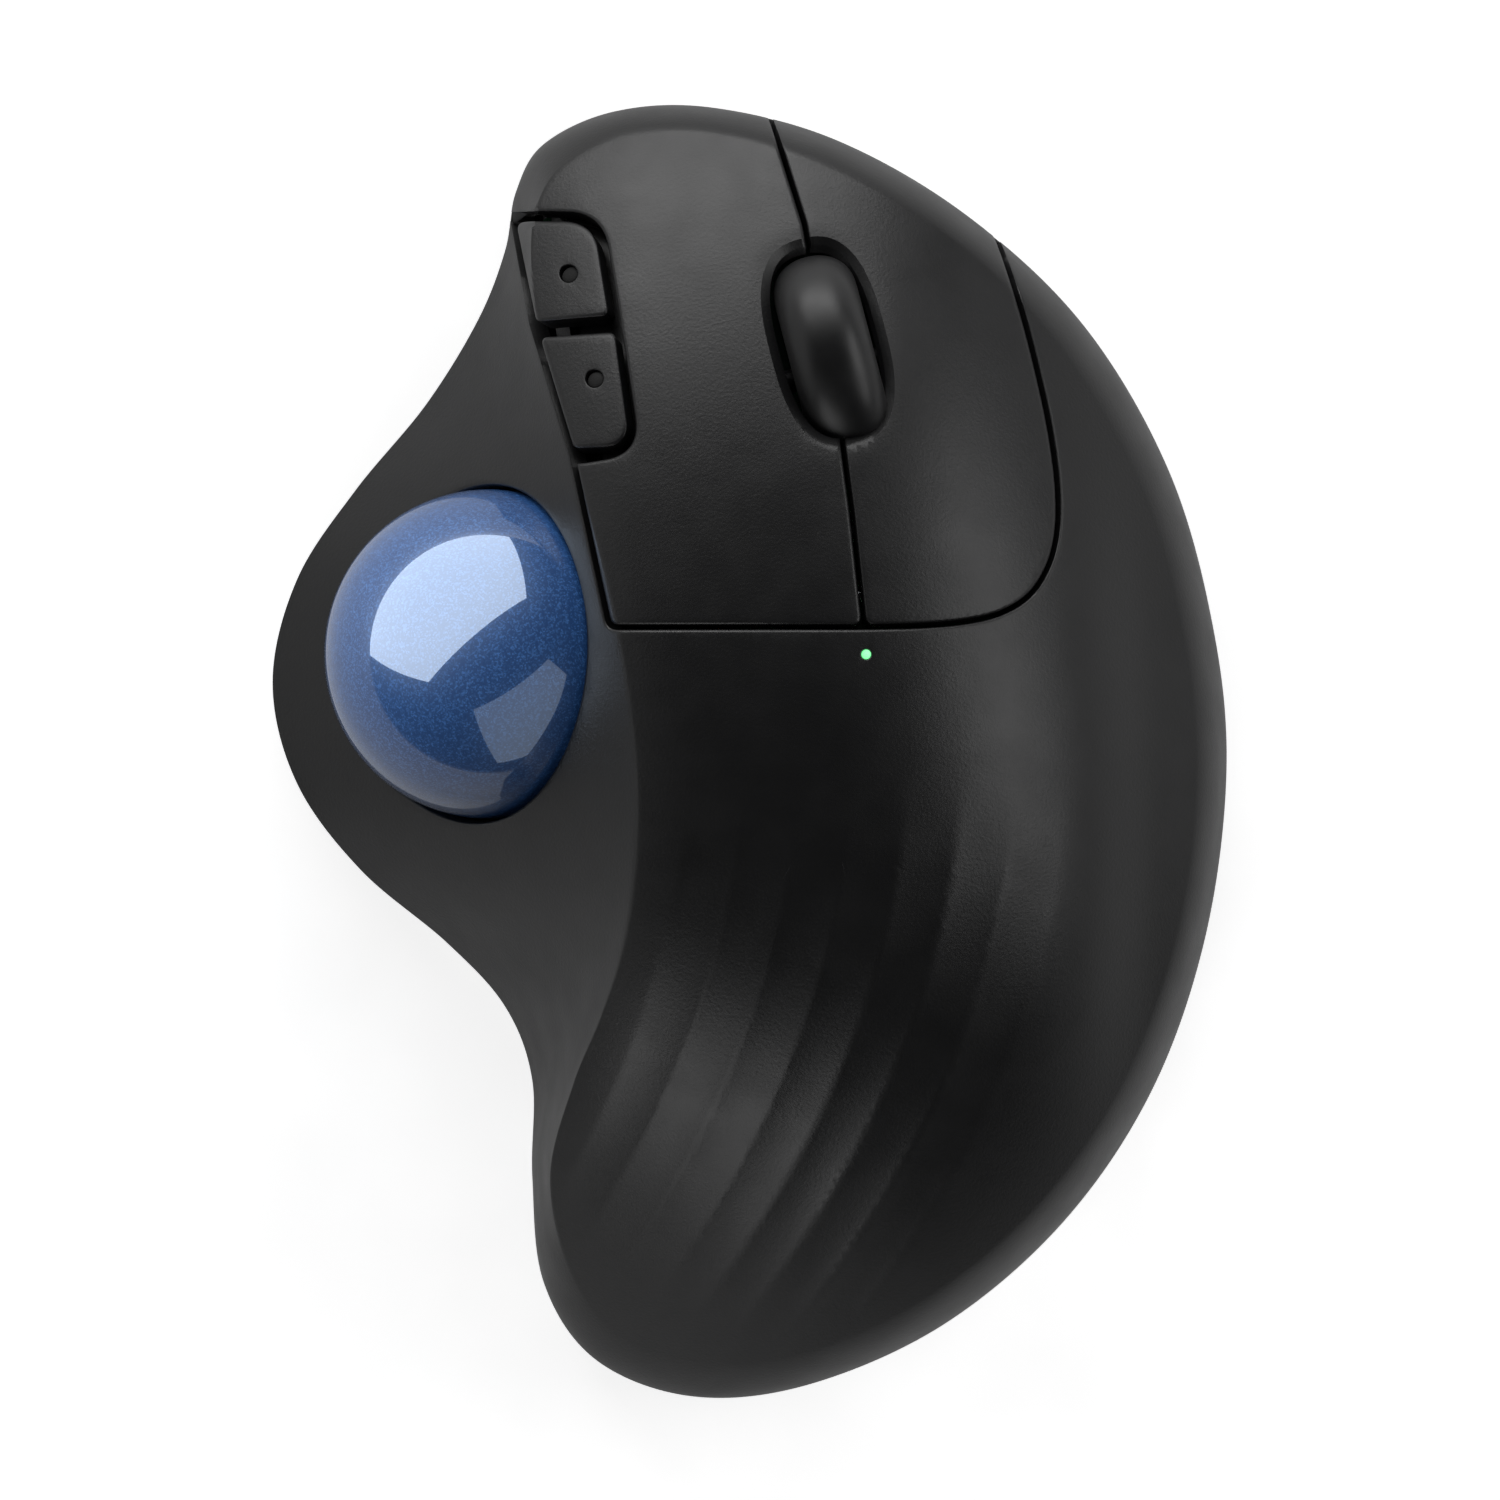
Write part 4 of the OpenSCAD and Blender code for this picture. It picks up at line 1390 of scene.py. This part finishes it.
@dataclass
class Solid:
    """Collects loops, walls and caps into one closed mesh."""

    points: list[np.ndarray] = field(default_factory=list)
    faces: list[tuple[int, ...]] = field(default_factory=list)

    def loop(self, plan: np.ndarray, z: float) -> list[int]:
        """Adds a plan loop at a height and returns its vertex numbers."""
        first = len(self.points)
        self.points += [np.array([x, y, z]) for x, y in plan]
        return list(range(first, len(self.points)))

    def wall(self, lower: list[int], upper: list[int]) -> None:
        """Joins two loops; the wall faces outwards when lower comes first."""
        total = len(lower)
        for k in range(total):
            n = (k + 1) % total
            self.faces.append((lower[k], lower[n], upper[n], upper[k]))

    def stack(self, rings: list[list[int]]) -> None:
        """Joins each loop to the next."""
        for lower, upper in zip(rings, rings[1:]):
            self.wall(lower, upper)

    def cap(self, outer: list[int], holes: Sequence[list[int]] = (), up: bool = True) -> None:
        """Fills a loop, leaving holes open.

        Args:
            outer: Vertex numbers of the outer loop.
            holes: Vertex numbers of each hole.
            up: Whether the cap faces up.
        """
        rings = [outer, *holes]
        numbers = [i for ring in rings for i in ring]
        edges, first = [], 0
        for ring in rings:
            count = len(ring)
            edges += [(first + k, first + (k + 1) % count) for k in range(count)]
            first += count
        coords = [Vector(self.points[i][:2]) for i in numbers]
        out, _, tris, origin, _, _ = delaunay_2d_cdt(coords, edges, [], 0, 1e-7, True)
        plan = [np.array([self.points[i][:2] for i in ring]) for ring in rings]
        middle = np.array([[sum(out[i][a] for i in tri) / 3 for a in (0, 1)] for tri in tris])
        keep = inside_loop(plan[0], middle)
        for ring in plan[1:]:
            keep &= ~inside_loop(ring, middle)
        for tri, wanted in zip(tris, keep):
            if wanted:
                face = [numbers[origin[i][0]] for i in tri]
                self.faces.append(tuple(face if up else face[::-1]))


@dataclass(frozen=True)
class Recess:
    """A pocket or hole in the underside.

    Attributes:
        loop: Plan loop of the pocket.
        depth: Height of the pocket's roof.
        through: Smaller loop that goes right through, when there is one.
    """

    loop: np.ndarray
    depth: float
    through: np.ndarray | None = None


def box_loop(x0: float, y0: float, x1: float, y1: float, corner: float) -> np.ndarray:
    """Counter-clockwise rectangle with rounded corners."""
    return rounded_loop([(x0, y0, corner), (x1, y0, corner), (x1, y1, corner), (x0, y1, corner)], 2.0)


@dataclass
class BaseTub:
    """Bottom tub with its door opening, screw wells, foot wells and the ball push-out hole."""

    skin: Sculpt
    plan: KeyPlan
    lip_top: float = 7.8
    under: float = 0.8
    floor: float = 2.8
    wall: float = 2.4
    top: float = 5.97
    screws: tuple[tuple[float, float], ...] = ((-14, 49), (37, 26), (39.5, -24), (-14, -51))
    feet: tuple[tuple[float, float, float], ...] = (
        (-6, 57, 4.5), (40, 8, 4), (-41, 8, 4), (-8, -58, 4.5), (24, -47, 4),
    )

    def recesses(self) -> list[Recess]:
        """Every pocket in the underside."""
        wells = [Recess(circle(at, 2.6), 2.4, circle(at, 1.05)) for at in self.screws]
        wells += [Recess(circle(foot[:2], foot[2] + 0.05, 56), 1.3) for foot in self.feet]
        door = box_loop(-19, -42.5, 35, -9.5, 0.8)
        return wells + [
            Recess(door, 2.0, box_loop(-17.4, -42.1, 34.2, -9.9, 0.5)),
            Recess(box_loop(-12, -2, 16, 11, 1.0), 1.1),
            Recess(circle(BALL_CENTRE[:2], 6.0, 64), self.floor),
            Recess(box_loop(19, 19.8, 29, 24.2, 0.5), self.floor),
            Recess(circle((8, 22), 2.6), self.floor),
        ]

    def build(self) -> None:
        """Makes the tub."""
        solid = Solid()
        rim = self.skin.grid[-4, :-1, :2]
        top, foot = self.top, self.under
        rows = [
            (1.0, foot), (0.6, foot + 0.1), (0.28, foot + 0.32), (0.08, foot + 0.64), (0.0, foot + 1.05),
            (0.0, 3.2), (0.0, top - 0.3), (0.07, top - 0.1), (0.3, top), (self.wall, top), (self.wall, self.floor),
        ]
        rings = [solid.loop(offset_loop(rim, inset) if inset else rim, z) for inset, z in rows]
        solid.stack(rings)
        mouths, tops = [], []
        for pocket in self.recesses():
            mouth = solid.loop(pocket.loop, foot)
            mouths.append(mouth)
            roof = solid.loop(pocket.loop, pocket.depth)
            solid.wall(roof, mouth)
            if pocket.through is not None:
                inner = solid.loop(pocket.through, pocket.depth)
                solid.cap(roof, [inner], up=False)
                end = solid.loop(pocket.through, self.floor)
                solid.wall(end, inner)
                tops.append(end)
            elif pocket.depth < self.floor:
                solid.cap(roof, up=False)
            else:
                tops.append(roof)
        solid.cap(rings[0], mouths, up=False)
        solid.cap(rings[-1], tops, up=True)
        tub = make_mesh("base_tub", np.array(solid.points), solid.faces, sharp=35)
        place_piece(tub, Body.HOUSING, BASE_ABS, ["base_shell"])
        self._lip(rim)

    def _lip(self, rim: np.ndarray) -> None:
        """Makes the low wall that rises under the front of the keys."""
        inside = inside_loop(offset_loop(self.plan.zone(), 0.35), rim)
        start = next(i for i in range(len(rim)) if inside[i] and not inside[i - 1])
        run = [(start + k) % len(rim) for k in range(int(inside.sum()))]
        deep = offset_loop(rim, self.wall)[run][::-1]
        solid = Solid()
        top = self.lip_top
        rows = ((0.02, self.top - 0.5), (0.02, top - 0.3), (0.1, top - 0.08), (0.3, top))
        rings = [solid.loop(np.concatenate([offset_loop(rim, inset)[run], deep]), z) for inset, z in rows]
        solid.stack(rings)
        solid.cap(rings[0], up=False)
        solid.cap(rings[-1], up=True)
        lip = make_mesh("base_front_lip", np.array(solid.points), solid.faces, sharp=35)
        place_piece(lip, Body.HOUSING, BASE_ABS)


@dataclass
class StatusLamp:
    """Light guide that carries the status light from the board up to the shell."""

    foot: float = 13.45
    neck: float = 40.0
    tip: float = 46.05

    def build(self) -> None:
        """Makes the guide."""
        profile = [
            (0.01, self.foot), (1.4, self.foot), (1.4, self.neck - 0.3), (0.5, self.neck + 0.6),
            (0.5, self.tip - 0.12), (0.42, self.tip - 0.03), (0.01, self.tip),
        ]
        pts, faces = lathe(profile, 32)
        guide = make_mesh("status_light_guide", pts + np.array([*LAMP_AT, 0]), faces)
        place_piece(guide, Body.HOUSING, GLOW, ["light_guide"])


@dataclass
class CadFinishes:
    """Finishes of the CAD nodes that keep their own shape."""

    table: dict[str, Finish] = field(
        default_factory=lambda: {
            "wheel_hub": NYLON, "wheel_carrier": ACETAL, "carrier_pin": STEEL, "wheel_stand": NYLON,
            "encoder": ENCODER, "trackball": BALL, "ball_core": BALL_HEART, "ball_cup": DEEP_ABS,
            "bearings": CERAMIC, "ball_sensor": CHIP, "sensor_board": BOARD, "sensor_flex": FLEX,
            "main_board": BOARD, "radio_chip": CHIP, "small_chips": CHIP, "led_emitter": LENS,
            "click_switches": CHIP, "switch_plungers": IVORY, "side_switches": NYLON,
            "hinge_pin": STEEL, "standoffs": NYLON, "battery_door": BASE_ABS,
            "battery_cell": WRAP, "contact_plus": NICKEL, "contact_spring": NICKEL, "battery_wires": WIRE,
            "receiver_shell": BASE_ABS, "receiver_plug": NICKEL, "power_slider": WHITE, "power_switch": NICKEL,
            "pairing_button": WHITE, "pairing_switch": NYLON, "rubber_feet": FOOT, "base_screws": STEEL,
            "rating_label": FILM,
        }
    )

    def build(self, nodes: dict[str, bpy.types.Object]) -> None:
        """Dresses every CAD node in the table.

        Args:
            nodes: CAD nodes by name.
        """
        for name, finish in self.table.items():
            dress(nodes[name], finish)
            LOG.info("%s keeps its CAD shape, %d faces", name, len(nodes[name].data.polygons))


# ---------------------------------------------------------------- studio


BALL_PIECES = ("trackball",)


@dataclass
class Softbox:
    """One soft area light.

    Attributes:
        name: Name of the light.
        toward: Direction from the mouse to the light.
        size: Width and height in metres.
        radiance: Brightness of its face.
        distance: Distance in metres.
        aim_height: Height in metres of the point it is aimed at.
        only: Names of the pieces it lights, or none for all.
        never: Names of the pieces it leaves out.
        tint: Colour of its light.
    """

    name: str
    toward: tuple[float, float, float]
    size: tuple[float, float]
    radiance: float
    distance: float = 0.8
    aim_height: float = 0.02
    only: tuple[str, ...] = ()
    never: tuple[str, ...] = ()
    tint: str = "#ffffff"

    def build(self) -> None:
        """Hangs the light and aims it at the mouse."""
        lamp = bpy.data.lights.new(self.name, "AREA")
        lamp.shape = "RECTANGLE"
        lamp.size, lamp.size_y = self.size
        lamp.color = linear(self.tint)[:3]
        lamp.energy = self.radiance * math.pi * self.size[0] * self.size[1]
        made = bpy.data.objects.new(self.name, lamp)
        bpy.context.scene.collection.objects.link(made)
        away = Vector(self.toward).normalized()
        turn = away.to_track_quat("Z", "Y").to_matrix().to_4x4()
        made.matrix_world = Matrix.Translation(away * self.distance + Vector((0, 0, self.aim_height))) @ turn
        if self.only or self.never:
            group = bpy.data.collections.new(self.name + "_pieces")
            made.light_linking.receiver_collection = group
            for name in self.only or self.never:
                group.objects.link(bpy.data.objects[name])
            for row in group.collection_objects:
                row.light_linking.link_state = "INCLUDE" if self.only else "EXCLUDE"


@dataclass
class Studio:
    """Pale floor, soft lights and the camera straight above."""

    camera_height: float = 3.462
    lens: float = 800.0
    floor_half: float = 3.0
    floor_drop: float = 0.00002
    lights: tuple[Softbox, ...] = (
        Softbox("front_box", (-0.2, 1.0, 0.3), (0.9, 0.36), 4.5, never=BALL_PIECES),
        Softbox("left_box", (-1.0, 0.1, 0.35), (0.9, 0.4), 0.7, never=BALL_PIECES),
        Softbox("right_box", (1.0, 0.3, 0.6), (0.8, 0.3), 3.0, never=BALL_PIECES),
        Softbox("rear_box", (-0.45, -1.0, 0.6), (0.6, 0.4), 2.2, never=BALL_PIECES),
        Softbox("under_box", (0.0, 0.0, -1.0), (0.3, 0.3), 6.0),
        Softbox("ball_box", (-0.57, 0.66, 0.5), (1.62, 1.1), 9.6, 0.6, only=BALL_PIECES, tint="#dcecff"),
        Softbox("ball_fill", (0.42, -0.63, 0.55), (0.8, 0.6), 1.6, 0.6, only=BALL_PIECES, tint="#dcecff"),
    )

    def build(self) -> None:
        """Sets up the stage."""
        mesh = bpy.data.meshes.new("studio_floor")
        size, low = self.floor_half, -self.floor_drop
        corners = [(-size, -size, low), (size, -size, low), (size, size, low), (-size, size, low)]
        mesh.from_pydata(corners, [], [(0, 1, 2, 3)])
        floor = bpy.data.objects.new("studio_floor", mesh)
        bpy.context.scene.collection.objects.link(floor)
        dress(floor, BacklitPaper())
        world = bpy.data.worlds.new("studio_world")
        world.use_nodes = True
        world.node_tree.nodes["Background"].inputs["Color"].default_value = linear("#f2f3f5")
        world.node_tree.nodes["Background"].inputs["Strength"].default_value = 0.035
        bpy.context.scene.world = world
        for light in self.lights:
            light.build()
        view = bpy.data.cameras.new("camera")
        view.lens = self.lens
        view.sensor_width = 36.0
        view.clip_start = 0.01
        eye = bpy.data.objects.new("camera", view)
        bpy.context.scene.collection.objects.link(eye)
        eye.location = (0, 0.0002, self.camera_height)
        bpy.context.scene.camera = eye
        bpy.context.scene.view_settings.view_transform = "Standard"


def main() -> None:
    """Builds every sub-assembly in order and reports each piece."""
    logging.basicConfig(level=logging.INFO, format="%(message)s")
    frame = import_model()
    skin = Sculpt()
    plan = KeyPlan()
    CadFinishes().build(frame["nodes"])
    PalmShell(skin, plan).build()
    ClickKeys(skin, plan).build()
    SideKeys(skin, plan).build()
    ScrollWheel().build()
    StatusLamp().build()
    BaseTub(skin, plan).build()
    Studio().build()


if __name__ == "__main__":
    main()
